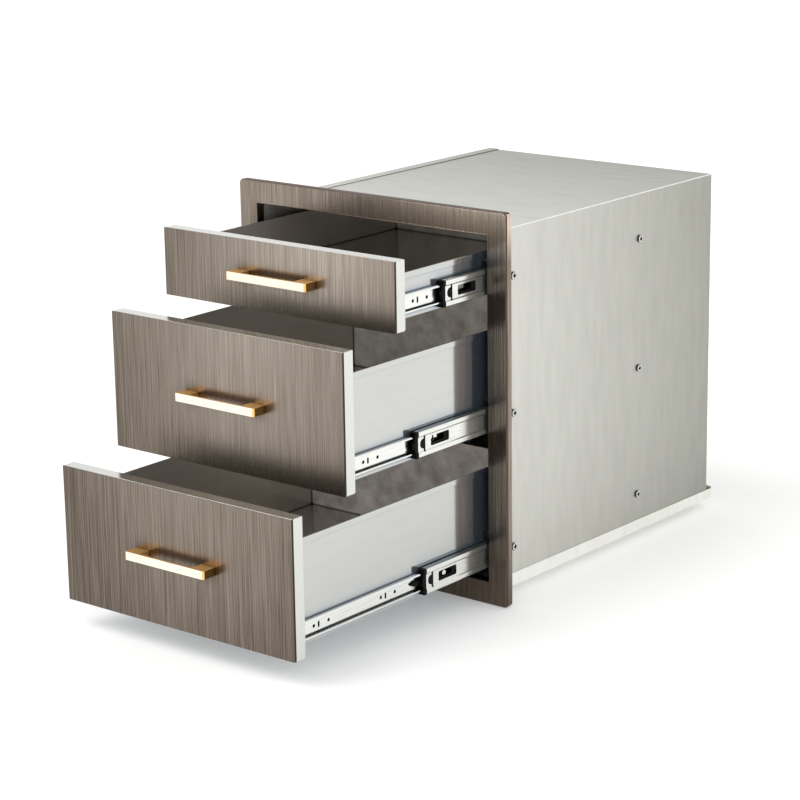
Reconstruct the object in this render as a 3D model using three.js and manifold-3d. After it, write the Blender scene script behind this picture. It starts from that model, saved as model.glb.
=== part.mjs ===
// A three-drawer unit that is built into an outdoor kitchen: a folded face frame, a sheet steel cabinet
// behind it, and three drawers on pairs of three-member ball-bearing slides, drawn partly open.
// Millimetres. X runs to the right, Y from the front to the back and Z up. The model is laid out from the
// frame's front face (Y = 0), its middle (X = 0) and its lower edge (Z = 0), and the last group then moves it
// so that the origin lies on the back of the frame, in the middle of its lower lip.
import * as THREE from 'three';
import { mergeVertices } from 'three/addons/utils/BufferGeometryUtils.js';
import Module from 'manifold-3d';

const wasm = await Module();
wasm.setup();

// Face frame
const frameWidth = 452;
const frameHeight = 524;
const frameDepth = 12;
const frameBorder = 31;
const frameCornerRadius = 6;
const frameSheet = 1;
const frameLip = 10;
const frameReveal = 14;

// Cabinet
const cabinetSheet = 0.9;
const cabinetDepth = 527;
const baseClearHeight = 11.4;
const baseUpstand = 18.6;
const baseOverhang = 12;
const baseCorner = 3;
const seamFlange = 18;
const backFlange = 4;

// Drawer fronts and handles
const frontGap = 3;
const frontSideGap = 1.5;
const frontDepth = 20;
const topFrontHeight = 90;
const skinSheet = 1;
const shellSheet = 1;
const shellLip = 14;
const shellCorner = 3;
const handleLength = 134;
const handleHeight = 10.8;
const handleReach = 20.9;
const handleBar = 3.9;
const handlePost = 22.5;
const handleCorner = 3;
const handleScrewRadius = 1.5;
const handleScrewHeadRadius = 2.8;
const handleScrewHeadHeight = 2.4;

// Drawer boxes
const boxSheet = 0.9;
const boxLift = 12;
const boxRearGap = 4.5;
const shallowRimDrop = 20;
const deepRimDrop = 32;
const boxHem = 7.5;

// Slides: lengths along the drawer
const slideLength = 450;
const slideFrontGap = 1.5;
const slideLift = 20;
const outerCageLength = 220;
const innerCageLength = 104;
const outerBallsPerRow = 3;
const innerBallsPerRow = 2;
const cageStopGap = 2;

// Slides: their section
const slideSheet = 1.2;
const slideBend = 0.8;
const drawerLipReach = 6.4;
const drawerLipDepth = 2.2;
const cageSheet = 0.5;
const cageGap = 0.4;
const bandStep = 1.3;
const bandRise = 1.5;
const middleHeight = 34.1;
const middleWebHalf = 9.5;
const outerBallRadius = 2.2;
const innerBallRadius = 1.4;
const outerBallReach = 6.6;
const innerBallReach = 3.6;
const raceDip = 0.4;
const raceArcDegrees = [90, 120, 150];
const raceGap = 0.3;

// Intermediate member and its black guide: places from the steel's front end, sizes of the cut-outs
const steelSetback = 13.5;
const guideReach = 5.5;
const guideNoseReach = 7.5;
const guideNoseRadius = 13.8;
const guideNoseHalf = 8.6;
const guideNoseArcShares = [-1, -0.4, 0.4, 1];
const notchSetback = 10.8;
const notchWidth = 3.6;
const notchEyeRadius = 6.5;
const notchEyeDegrees = [90, 126, 162, 198, 234, 270];
const windowSetback = 25.4;
const windowLength = 37.2;
const windowHalf = 6.5;
const windowCorner = 2;

// Drawer member's holes: a round hole, an upright slot and a round hole, twice
const firstHole = 24.5;
const slotStep = 9;
const lastHoleStep = 27.5;
const holeGroupPitch = 128;
const holeRadius = 2.3;
const slotHalf = 4;
const slotWidth = 3.2;

// Screws that hold the slides to the cabinet, measured from the slide's front end
const firstScrew = 31.8;
const secondScrew = 323.5;
const screwRadius = 2;
const screwHeadRadius = 4.7;
const screwHeadHeight = 2.2;

// Release levers
const leverLength = 64;
const leverPivot = 275;
const leverHubRadius = 6;
const leverPinRadius = 2;
const leverThickness = 3;
const leverArmHeight = 4.4;
const leverTabLength = 16;
const leverTabHeight = 7.4;
const leverTipHeight = 2.4;

// How far each stage of each drawer's slides is drawn out in the modelled pose, as shares of its travel
const topOuterShare = 0.518;
const topInnerShare = 0.294;
const middleOuterShare = 0.776;
const middleInnerShare = 0.485;
const bottomOuterShare = 0.72;
const bottomInnerShare = 0.98;

// The gap between pieces that seat on each other, the play of a screw in its hole, and the cutters' overrun
const seam = 0.3;
const holePlay = 0.4;
const overrun = 2;

// Points of one solid that lie closer than this are one point
const weld = 1e-5;

// Steps in a quarter turn of a round corner are twice this count
const arcSteps = 1;

// Places worked out from the sizes above
const openingHalf = frameWidth / 2 - frameBorder;
const openingLow = frameBorder;
const openingHigh = frameHeight - frameBorder;
const wallInner = openingHalf + frameSheet + seam;
const wallOuter = wallInner + cabinetSheet;
const roofUnder = openingHigh + frameSheet + seam;
const roofTop = roofUnder + cabinetSheet;
const cabinetFront = frameSheet + seam;
const baseTop = baseClearHeight + cabinetSheet;
const baseFront = frameDepth + seam;
const slideStart = frontDepth + slideFrontGap;
const slideEnd = slideStart + slideLength;
const steelStart = slideStart + steelSetback;
const notchStart = steelStart + notchSetback;
const windowStart = steelStart + windowSetback;
const tongueEnd = windowStart + windowLength + seam;
const backFront = cabinetDepth - backFlange - cabinetSheet;
const slideThickness = drawerLipReach + 2 * cageSheet + 4 * cageGap + 2 * slideSheet + bandStep;
const slideOuterFace = wallInner - seam;
const slideInnerFace = slideOuterFace - slideThickness;
const boxHalf = slideInnerFace - seam;
const boxFront = frontDepth + seam;
const boxBack = slideEnd - boxRearGap;
const frontHalf = openingHalf - frontSideGap;
const lowerFrontHeight = (openingHigh - openingLow - topFrontHeight - 4 * frontGap) / 2;

// Materials
const finish = (color, roughness, metalness = 1) => (
  new THREE.MeshStandardMaterial({ color, roughness, metalness }));
const hairline = finish(0x857a71, 0.42);
const stainless = finish(0xd3d3cf, 0.32);
const boxSteel = finish(0xc4c6c4, 0.28);
const galvanised = finish(0xc2c3bd, 0.55, 0.7);
const zinc = finish(0xc9cdd0, 0.3);
const cageSteel = finish(0xa9abab, 0.4);
const gold = finish(0xe0c592, 0.3);
const blackPlastic = finish(0x141414, 0.5, 0);

// Solids from three.js geometries, for joining and cutting
function solid(geometry) {
  const plain = geometry.index ? geometry.toNonIndexed() : geometry.clone();
  plain.deleteAttribute('normal');
  plain.deleteAttribute('uv');
  const merged = mergeVertices(plain, weld);
  return new wasm.Manifold(new wasm.Mesh({
    numProp: 3,
    vertProperties: new Float32Array(merged.attributes.position.array),
    triVerts: new Uint32Array(merged.index.array),
  }));
}

function geometryOf(body) {
  const mesh = body.getMesh();
  const geometry = new THREE.BufferGeometry();
  geometry.setAttribute('position', new THREE.BufferAttribute(new Float32Array(mesh.vertProperties), 3));
  geometry.setIndex(new THREE.BufferAttribute(new Uint32Array(mesh.triVerts), 1));
  geometry.computeVertexNormals();
  return geometry;
}

const joined = (bodies) => bodies.reduce((all, body) => all.add(body));
const cut = (body, cutters) => cutters.reduce((left, cutter) => left.subtract(cutter), body);

// Moves each vertex of a unit shape to its exact place, so that faces that should meet are the same number
function placed(geometry, place) {
  const { position } = geometry.attributes;
  for (let i = 0; i < position.count; i += 1) {
    position.setXYZ(i, ...place(position.getX(i), position.getY(i), position.getZ(i)));
  }
  return solid(geometry);
}

// A block between two corners
const block = (low, high) => placed(new THREE.BoxGeometry(1, 1, 1),
  (...corner) => corner.map((value, axis) => (value < 0 ? low[axis] : high[axis])));

const shapeOf = (points) => new THREE.Shape(points.map(([x, y]) => new THREE.Vector2(x, y)));

// A section of (x, z) points carried along Y, and an outline of (y, z) points carried along X
function extruded(outline, curveSegments = arcSteps) {
  const shape = Array.isArray(outline) ? shapeOf(outline) : outline;
  return new THREE.ExtrudeGeometry(shape, { depth: 1, bevelEnabled: false, curveSegments });
}
const roundStep = Math.PI / 4;
function cornerArc(centreX, centreY, radius, quarter) {
  return [0, 1, 2].map((step) => {
    const turn = (2 * quarter + step) * roundStep;
    return [centreX + radius * Math.cos(turn), centreY + radius * Math.sin(turn)];
  });
}
const alongY = (section, from, to) => placed(extruded(section), (x, z, far) => [x, far > 0 ? from : to, z]);
const alongX = (outline, from, to) => placed(extruded(outline), (y, z, far) => [far > 0 ? to : from, y, z]);

// Round bars along X and along Y
function barX(radius, from, to, y, z, sides = 10) {
  const geometry = new THREE.CylinderGeometry(radius, radius, Math.abs(to - from), sides);
  geometry.rotateZ(Math.PI / 2);
  geometry.translate((from + to) / 2, y, z);
  return solid(geometry);
}

function barY(radius, from, to, x, z, sides = 10) {
  const geometry = new THREE.CylinderGeometry(radius, radius, to - from, sides);
  geometry.translate(0, (from + to) / 2, 0);
  geometry.translate(x, 0, z);
  return solid(geometry);
}

// A rectangle with round corners, centred on a point
function roundedRectangle(width, height, radius, centreX, centreY) {
  const shape = new THREE.Shape();
  const x = centreX - width / 2;
  const y = centreY - height / 2;
  shape.moveTo(x + radius, y);
  shape.lineTo(x + width - radius, y);
  shape.absarc(x + width - radius, y + radius, radius, -Math.PI / 2, 0);
  shape.lineTo(x + width, y + height - radius);
  shape.absarc(x + width - radius, y + height - radius, radius, 0, Math.PI / 2);
  shape.lineTo(x + radius, y + height);
  shape.absarc(x + radius, y + height - radius, radius, Math.PI / 2, Math.PI);
  shape.lineTo(x, y + radius);
  shape.absarc(x + radius, y + radius, radius, Math.PI, 1.5 * Math.PI);
  return shape;
}

// The outline of a folded sheet: its centre line offset by half the sheet to both sides, mitred at the bends
function folded(line, sheet) {
  const points = line.map(([x, y]) => new THREE.Vector2(x, y));
  const normalOf = (a, b) => {
    const along = b.clone().sub(a).normalize();
    return new THREE.Vector2(-along.y, along.x);
  };
  const offsets = points.map((point, i) => {
    const before = i > 0 ? normalOf(points[i - 1], point) : normalOf(point, points[1]);
    const after = i < points.length - 1 ? normalOf(point, points[i + 1]) : before;
    const mitre = before.clone().add(after).normalize();
    return mitre.multiplyScalar(sheet / 2 / mitre.dot(before));
  });
  const left = points.map((point, i) => [point.x + offsets[i].x, point.y + offsets[i].y]);
  const right = points.map((point, i) => [point.x - offsets[i].x, point.y - offsets[i].y]);
  return [...left, ...right.reverse()];
}

// The named pieces, in the group of what they move with
const unit = new THREE.Group();
const laidOut = new THREE.Group();
laidOut.position.set(0, -frameDepth, -frameLip / 2);
unit.add(laidOut);

function groupAt(drawnOut) {
  const group = new THREE.Group();
  group.position.set(0, -drawnOut, 0);
  laidOut.add(group);
  return group;
}

function add(group, name, body, material) {
  const mesh = new THREE.Mesh(geometryOf(body), material);
  mesh.name = name;
  group.add(mesh);
}

// Face frame: a shallow tray with round corners, open at the back inside its lips, and the opening's reveal
function faceFrame() {
  const midHeight = frameHeight / 2;
  const ring = (inset, from, to) => alongY(roundedRectangle(frameWidth - 2 * inset, frameHeight - 2 * inset,
    Math.max(frameCornerRadius - inset, frameSheet), 0, midHeight), from, to);
  const opening = (grow, from, to) => block(
    [-openingHalf - grow, from, openingLow - grow], [openingHalf + grow, to, openingHigh + grow]);
  const tray = cut(ring(0, 0, frameDepth), [
    ring(frameSheet, frameSheet, frameDepth - frameSheet),
    ring(frameLip, frameDepth - 2 * frameSheet, frameDepth + overrun),
  ]);
  return cut(tray.add(opening(frameSheet, 0, frameReveal)), [opening(0, -overrun, frameReveal + overrun)]);
}

// With the drawer closed the outer cage lies midway along the slide. The inner one lies further back, because
// it rolls forward by half of its stage's travel, up to the guide's tongue, as the drawer is drawn out.
const stageTravel = slideLength / 2;
const outerCageFront = slideStart + (slideLength - outerCageLength) / 2;
const innerCageFront = tongueEnd + stageTravel / 2 + cageStopGap;

// One slide's section, as distances out from the drawer's side and up from the slide's middle
const webMiddle = drawerLipReach + cageSheet + 2 * cageGap + slideSheet / 2;
const bandMiddle = webMiddle + bandStep;
const outerCageMiddle = bandMiddle + slideSheet / 2 + cageGap + cageSheet / 2;
const innerCageMiddle = drawerLipReach + cageGap + cageSheet / 2;
const cabinetWebMiddle = slideThickness - slideSheet / 2;
const flangeMiddle = middleHeight / 2 - slideSheet / 2;
const outerRace = outerBallRadius + raceGap + slideSheet / 2;
const outerBallHeight = flangeMiddle - raceDip + outerRace;
const cabinetFlangeMiddle = outerBallHeight + outerRace;
const innerBallHeight = flangeMiddle - slideSheet / 2 - raceGap - innerBallRadius;
const drawerFlangeMiddle = innerBallHeight - innerBallRadius - raceGap - slideSheet / 2;
const drawerLipMiddle = drawerLipReach - slideSheet / 2;

// Both halves of a section, from its upper half
const bothHalves = (upper) => [...upper.map(([u, v]) => [u, -v]).reverse(), ...upper];

const cabinetMemberLine = bothHalves([
  [cabinetWebMiddle, cabinetFlangeMiddle - slideBend],
  [cabinetWebMiddle - slideBend, cabinetFlangeMiddle],
  ...raceArcDegrees.map((degrees) => {
    const turn = degrees * Math.PI / 180;
    return [outerBallReach + outerRace * Math.cos(turn), outerBallHeight + outerRace * Math.sin(turn)];
  }),
]);
const middleMemberLine = bothHalves([
  [webMiddle, middleWebHalf],
  [bandMiddle, middleWebHalf + bandRise],
  [bandMiddle, flangeMiddle - slideBend],
  [bandMiddle - slideBend, flangeMiddle],
  [outerBallReach + outerBallRadius / 2, flangeMiddle - raceDip],
  [outerBallReach - outerBallRadius / 2, flangeMiddle - raceDip],
  [outerBallReach - outerBallRadius, flangeMiddle],
  [innerBallReach - innerBallRadius, flangeMiddle],
]);
const drawerMemberLine = bothHalves([
  [slideSheet / 2, drawerFlangeMiddle - slideBend],
  [slideSheet / 2 + slideBend, drawerFlangeMiddle],
  [drawerLipMiddle - slideBend, drawerFlangeMiddle],
  [drawerLipMiddle, drawerFlangeMiddle - slideBend],
  [drawerLipMiddle, drawerFlangeMiddle - drawerLipDepth],
]);
const outerCageLine = bothHalves([
  [outerCageMiddle, outerBallHeight - slideBend],
  [outerCageMiddle - slideBend, outerBallHeight],
  [outerBallReach - outerBallRadius / 2, outerBallHeight],
]);
const innerCageLine = bothHalves([
  [innerCageMiddle, drawerFlangeMiddle + slideBend],
  [innerCageMiddle - slideBend, innerBallHeight],
  [innerBallReach - innerBallRadius / 2, innerBallHeight],
]);

// A slide's pieces stand on the drawer's side at a height of their own, on the right or on the left
function slidePieces(side, height) {
  const across = (u) => side * (slideInnerFace + u);
  const section = (line, sheet) => folded(line, sheet).map(([u, v]) => [across(u), height + v]);
  const extent = (uFrom, uTo) => [across(uFrom), across(uTo)].sort((a, b) => a - b);
  const plate = (outline, uFrom, uTo) => {
    const [from, to] = extent(uFrom, uTo);
    return alongX(outline, from, to);
  };
  const slab = (uFrom, uTo, yFrom, yTo, vFrom, vTo) => {
    const [from, to] = extent(uFrom, uTo);
    return block([from, yFrom, height + vFrom], [to, yTo, height + vTo]);
  };
  const disc = (radius, uFrom, uTo, y, v = 0) => {
    const [from, to] = extent(uFrom, uTo);
    return barX(radius, from, to, y, height + v);
  };
  const ball = (radius, u, y, v) => {
    const geometry = new THREE.IcosahedronGeometry(radius);
    geometry.translate(across(u), y, height + v);
    return solid(geometry);
  };
  const webOuter = webMiddle + slideSheet / 2;

  // Cabinet member, with the two screws that pass through the cabinet's wall
  function cabinetMember() {
    const wall = wallOuter - slideInnerFace;
    const screws = [firstScrew, secondScrew].flatMap((place) => [
      disc(screwRadius, cabinetWebMiddle, wall + screwHeadHeight / 2, slideStart + place),
      disc(screwHeadRadius, wall + seam, wall + seam + screwHeadHeight, slideStart + place),
    ]);
    return joined([alongY(section(cabinetMemberLine, slideSheet), slideStart, slideEnd), ...screws]);
  }

  // Intermediate member: a clip notch and a long window near its front end
  const notchHalf = middleWebHalf + bandRise;
  const notch = (inset, uFrom, uTo) => {
    const middle = notchStart + notchWidth / 2;
    const slot = roundedRectangle(notchWidth - 2 * inset, 2 * (notchHalf - inset),
      notchWidth / 2 - inset - seam, middle, height);
    const radius = notchEyeRadius - inset;
    const eye = notchEyeDegrees.map((degrees) => {
      const turn = degrees * Math.PI / 180;
      return [notchStart - notchWidth / 6 + radius * Math.cos(turn), height + radius * Math.sin(turn)];
    });
    return [
      plate(slot, uFrom, uTo),
      plate([[middle, height + radius], ...eye, [middle, height - radius]], uFrom, uTo),
    ];
  };
  function intermediateMember() {
    const windowCut = plate(roundedRectangle(windowLength, 2 * windowHalf, windowCorner,
      windowStart + windowLength / 2, height), webMiddle - slideSheet, bandMiddle + slideSheet);
    return cut(alongY(section(middleMemberLine, slideSheet), steelStart, slideEnd),
      [...notch(0, webMiddle - slideSheet, bandMiddle + slideSheet), windowCut]);
  }

  // Front guide: a moulded collar and a round nose before the intermediate member's end, and a tongue that
  // clips behind its web. The release lever passes under the nose.
  function frontGuide() {
    const tongueHalf = middleWebHalf + seam;
    const collarHalf = middleHeight / 2;
    const front = steelStart - guideReach;
    const back = steelStart - seam;
    const inner = drawerFlangeMiddle + slideSheet / 2 + cageGap;
    const collarOuter = bandMiddle + slideSheet / 2;
    const collarInner = 2 * seam;
    const cageSlotOuter = drawerLipReach + cageGap;
    const noseInner = slideSheet + seam + leverThickness + cageGap;
    const peepholeStartShare = 0.04;
    const peepholeEndShare = 0.78;
    const collar = cut(slab(collarInner, collarOuter, front, back, -collarHalf, collarHalf), [
      slab(collarInner - overrun, cageSlotOuter, front - overrun, back + overrun, -inner, inner),
      slab(webOuter, collarOuter + overrun, front - overrun, back + overrun, -tongueHalf, tongueHalf),
    ]);
    const noseTurn = Math.asin(guideNoseHalf / guideNoseRadius);
    const noseArc = guideNoseArcShares.map((share) => [
      steelStart - guideNoseReach + guideNoseRadius * (1 - Math.cos(share * noseTurn)),
      height + guideNoseRadius * Math.sin(share * noseTurn),
    ]);
    const nose = plate([[back, height - guideNoseHalf], ...noseArc, [back, height + guideNoseHalf]],
      noseInner, webOuter);
    const tongue = slab(cageSlotOuter, cageSlotOuter + cageSheet, front + guideReach / 2, tongueEnd,
      -tongueHalf, tongueHalf);
    const peephole = slab(cageSlotOuter - seam, cageSlotOuter + cageSheet + seam,
      windowStart + windowLength * peepholeStartShare, windowStart + windowLength * peepholeEndShare,
      -windowHalf / 2, windowHalf);
    const clip = joined(notch(seam, cageSlotOuter + cageSheet / 2, webOuter)).subtract(
      slab(0, slideThickness, front, slideEnd, tongueHalf, collarHalf)).subtract(
      slab(0, slideThickness, front, slideEnd, -collarHalf, -tongueHalf));
    return joined([collar, nose, cut(tongue, [peephole]), clip]);
  }

  // Drawer member: groups of a round hole, an upright slot and a round hole, and the lever's pin
  function drawerMember() {
    const through = [-seam, slideSheet + seam];
    const groups = [0, 1].map((count) => slideStart + firstHole + count * holeGroupPitch);
    const holes = groups.flatMap((place) => [
      disc(holeRadius, ...through, place),
      plate(roundedRectangle(slotWidth, 2 * slotHalf, 0.45 * slotWidth, place + slotStep, height),
        ...through),
      disc(holeRadius, ...through, place + lastHoleStep),
    ]);
    const pinTop = slideSheet + leverThickness + 2 * seam;
    const pin = [
      disc(leverPinRadius, slideSheet / 2, pinTop + slideSheet / 2, slideStart + leverPivot),
      disc(1.8 * leverPinRadius, pinTop, pinTop + slideSheet / 2, slideStart + leverPivot),
    ];
    return cut(alongY(section(drawerMemberLine, slideSheet), slideStart, slideEnd), holes).add(joined(pin));
  }

  // Release lever: a hub on the pin and an arm towards the front, whose finger tab widens and then tapers
  function releaseLever() {
    const pivot = slideStart + leverPivot;
    const tip = pivot - leverLength;
    const from = slideSheet + seam;
    const to = from + leverThickness;
    const hubEdge = leverHubRadius * Math.cos(Math.PI / 5);
    const upper = [
      [pivot, hubEdge],
      [tip + leverTabLength, leverArmHeight / 2],
      [tip + leverTabLength / 2, leverTabHeight / 2],
      [tip, leverTipHeight / 2],
    ];
    const arm = plate([...upper, ...upper.map(([y, v]) => [y, -v]).reverse()]
      .map(([y, v]) => [y, height + v]), from, to);
    const hub = disc(leverHubRadius, from, to, pivot);
    return joined([arm, hub]).subtract(disc(leverPinRadius + seam, from - seam, to + seam, pivot));
  }

  // Ball cages: a folded strip with a row of balls along each edge
  function cage(line, front, length, count, radius, reach, rowHeight) {
    const places = Array.from({ length: count }, (_, i) => front + (i + 0.5) * length / count);
    const balls = places.flatMap((place) => (
      [rowHeight, -rowHeight].map((v) => ball(radius, reach, place, v))));
    return joined([alongY(section(line, cageSheet), front, front + length), ...balls]);
  }

  return {
    cabinetMember,
    intermediateMember,
    frontGuide,
    drawerMember,
    releaseLever,
    outerCage: () => cage(outerCageLine, outerCageFront, outerCageLength, outerBallsPerRow,
      outerBallRadius, outerBallReach, outerBallHeight),
    innerCage: () => cage(innerCageLine, innerCageFront, innerCageLength, innerBallsPerRow,
      innerBallRadius, innerBallReach, innerBallHeight),
  };
}

// Drawers, from the bottom to the top
const drawers = [
  {
    name: 'bottom', height: lowerFrontHeight, rimDrop: deepRimDrop,
    outer: bottomOuterShare * stageTravel, inner: bottomInnerShare * stageTravel,
  },
  {
    name: 'middle', height: lowerFrontHeight, rimDrop: deepRimDrop,
    outer: middleOuterShare * stageTravel, inner: middleInnerShare * stageTravel,
  },
  {
    name: 'top', height: topFrontHeight, rimDrop: shallowRimDrop,
    outer: topOuterShare * stageTravel, inner: topInnerShare * stageTravel,
  },
];
drawers.forEach((drawer, i) => {
  drawer.low = i === 0 ? openingLow + frontGap : drawers[i - 1].low + drawers[i - 1].height + frontGap;
  drawer.slideHeight = drawer.low + boxLift + slideLift;
});

// Holes for the slides' screws in a cabinet wall
const screwHoles = (side) => drawers.flatMap((drawer) => [firstScrew, secondScrew].map((place) => barX(
  screwRadius + holePlay, side * (wallInner - overrun), side * (wallOuter + overrun), slideStart + place,
  drawer.slideHeight)));

// Roof and right wall: one sheet with a single fold
function housingWrap() {
  const middle = cabinetSheet / 2;
  const sheet = folded([
    [-wallInner + seam, roofUnder + middle],
    [wallInner + middle, roofUnder + middle],
    [wallInner + middle, baseTop + seam],
  ], cabinetSheet);
  return cut(alongY(sheet, cabinetFront, cabinetDepth), screwHoles(1));
}

// Left wall, whose upper flange lies on the roof
function leftWall() {
  const middle = cabinetSheet / 2;
  const flangeHeight = roofTop + seam + middle;
  const sheet = folded([
    [-wallInner - middle, baseTop + seam],
    [-wallInner - middle, flangeHeight],
    [-wallOuter + seamFlange, flangeHeight],
  ], cabinetSheet);
  return cut(alongY(sheet, cabinetFront, cabinetDepth), screwHoles(-1));
}

// Base: a pan behind the frame's return, which takes the walls between its upstands and runs on behind them
function basePan() {
  const half = wallOuter + seam + cabinetSheet;
  const rear = cabinetDepth + baseOverhang;
  const high = baseClearHeight + baseUpstand;
  const bend = cornerArc(rear - baseCorner, high - baseCorner, baseCorner, 0);
  const outer = alongX([[baseFront, baseClearHeight], [rear, baseClearHeight], ...bend,
    [baseFront, high]], -half, half);
  const hollow = block([-half + cabinetSheet, baseFront - overrun, baseTop],
    [half - cabinetSheet, rear - cabinetSheet, high + overrun]);
  return outer.subtract(hollow);
}

// Back: a shallow tray that fits inside the walls, with its flanges turned to the rear
function backPanel() {
  const half = wallInner - seam;
  const low = baseTop + seam;
  const high = roofUnder - seam;
  const outer = block([-half, backFront, low], [half, cabinetDepth, high]);
  const hollow = block([-half + cabinetSheet, backFront + cabinetSheet, low + cabinetSheet],
    [half - cabinetSheet, cabinetDepth + overrun, high - cabinetSheet]);
  return outer.subtract(hollow);
}

// Drawer front: a hollow shell whose open face, inside its lips, takes the hairline skin
const handleScrews = (drawer, radius, from, to) => [-1, 1].map((side) => barY(radius, from, to,
  side * (handleLength - handlePost) / 2, drawer.low + drawer.height / 2));

function frontShell(drawer) {
  const { low } = drawer;
  const high = low + drawer.height;
  const face = skinSheet + seam;
  const box = (inset, from, to) => block(
    [-frontHalf + inset, from, low + inset], [frontHalf - inset, to, high - inset]);
  const bend = cornerArc(frontDepth - shellCorner, low + shellCorner, shellCorner, 3);
  const body = alongX([[face, low], ...bend, [frontDepth, high], [face, high]], -frontHalf, frontHalf);
  return cut(body, [
    box(shellSheet, face + shellSheet, frontDepth - shellSheet),
    box(shellLip, face - overrun, face + 2 * shellSheet),
    ...handleScrews(drawer, handleScrewRadius + holePlay, frontDepth - overrun, frontDepth + overrun),
  ]);
}

function frontSkin(drawer) {
  const plate = block([-frontHalf, 0, drawer.low], [frontHalf, skinSheet, drawer.low + drawer.height]);
  return cut(plate, handleScrews(drawer, handleScrewRadius + holePlay, -overrun, skinSheet + overrun));
}

// Handle: a flat bar on two square posts, with the screws that come from inside the drawer
function handle(drawer) {
  const half = handleLength / 2;
  const back = -seam;
  const front = back - handleReach;
  const gripHalf = half - handlePost;
  const outline = new THREE.Shape();
  outline.moveTo(half, back);
  outline.lineTo(gripHalf, back);
  outline.lineTo(gripHalf, front + handleBar);
  outline.lineTo(-gripHalf, front + handleBar);
  outline.lineTo(-gripHalf, back);
  outline.lineTo(-half, back);
  outline.lineTo(-half, front + handleCorner);
  outline.absarc(-half + handleCorner, front + handleCorner, handleCorner, Math.PI, 1.5 * Math.PI);
  outline.lineTo(half - handleCorner, front);
  outline.absarc(half - handleCorner, front + handleCorner, handleCorner, 1.5 * Math.PI, 2 * Math.PI);
  const underside = drawer.low + (drawer.height - handleHeight) / 2;
  const bar = placed(extruded(outline, 2 * arcSteps), (x, y, up) => [x, y, underside + up * handleHeight]);
  const headSeat = boxFront + boxSheet + seam;
  const screws = [
    ...handleScrews(drawer, handleScrewRadius, back - handleReach / 4, headSeat + handleScrewHeadHeight / 2),
    ...handleScrews(drawer, handleScrewHeadRadius, headSeat, headSeat + handleScrewHeadHeight),
  ];
  return joined([bar, ...screws]);
}

// Drawer box: floor and walls from one sheet, with the side walls' upper edges folded down outside
function drawerBox(drawer) {
  const low = drawer.low + boxLift;
  const high = drawer.low + drawer.height - drawer.rimDrop;
  const section = [
    [-boxHalf, low], [boxHalf, low],
    [boxHalf, high - boxHem], [boxHalf + boxSheet, high - boxHem], [boxHalf + boxSheet, high],
    [boxHalf - boxSheet, high], [boxHalf - boxSheet, low + boxSheet],
    [-boxHalf + boxSheet, low + boxSheet], [-boxHalf + boxSheet, high],
    [-boxHalf - boxSheet, high], [-boxHalf - boxSheet, high - boxHem], [-boxHalf, high - boxHem],
  ];
  const wall = (from, to) => block([-boxHalf, from, low], [boxHalf, to, high]);
  return cut(joined([
    alongY(section, boxFront, boxBack),
    wall(boxFront, boxFront + boxSheet),
    wall(boxBack - boxSheet, boxBack),
  ]),
    handleScrews(drawer, handleScrewRadius + holePlay, boxFront - overrun, boxFront + overrun));
}

// Assembly
const fixed = groupAt(0);
add(fixed, 'face_frame', faceFrame(), hairline);
add(fixed, 'housing_wrap', housingWrap(), galvanised);
add(fixed, 'left_side_panel', leftWall(), galvanised);
add(fixed, 'base_pan', basePan(), galvanised);
add(fixed, 'back_panel', backPanel(), galvanised);

drawers.forEach((drawer) => {
  const { name, outer, inner } = drawer;
  const moved = groupAt(outer + inner);
  add(moved, `${name}_front_skin`, frontSkin(drawer), hairline);
  add(moved, `${name}_front_shell`, frontShell(drawer), stainless);
  add(moved, `${name}_handle`, handle(drawer), gold);
  add(moved, `${name}_drawer_box`, drawerBox(drawer), boxSteel);

  const outerStage = groupAt(outer);
  const outerCages = groupAt(outer / 2);
  const innerCages = groupAt(outer + inner / 2);
  [['right', 1], ['left', -1]].forEach(([sideName, side]) => {
    const slide = slidePieces(side, drawer.slideHeight);
    const label = `${name}_${sideName}`;
    add(fixed, `${label}_cabinet_rail`, slide.cabinetMember(), zinc);
    add(outerStage, `${label}_middle_rail`, slide.intermediateMember(), zinc);
    add(outerStage, `${label}_front_guide`, slide.frontGuide(), blackPlastic);
    add(moved, `${label}_drawer_rail`, slide.drawerMember(), zinc);
    add(moved, `${label}_release_lever`, slide.releaseLever(), blackPlastic);
    add(outerCages, `${label}_outer_ball_cage`, slide.outerCage(), cageSteel);
    add(innerCages, `${label}_inner_ball_cage`, slide.innerCage(), cageSteel);
  });
});

export default unit;
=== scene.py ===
# %% [markdown]
# # A three-drawer unit for an outdoor kitchen
#
# The unit is thin folded steel: a hairline face frame, a galvanised cabinet behind it and three bright
# drawers on ball-bearing slides, drawn partly open. Folded steel has a look of its own. Every edge is a
# small round bend, flat faces are truly flat, and the metal shows what stands around it. So the lesson is
# to carry small, exact sections along straight lines and round rectangles, and to leave the rest to light.
#
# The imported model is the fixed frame. It gives each part's size and place, and the pieces made here dress it.

# %% The fixed frame
import math

import bmesh
import bpy
import numpy as np
from mathutils import Matrix, Vector


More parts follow.
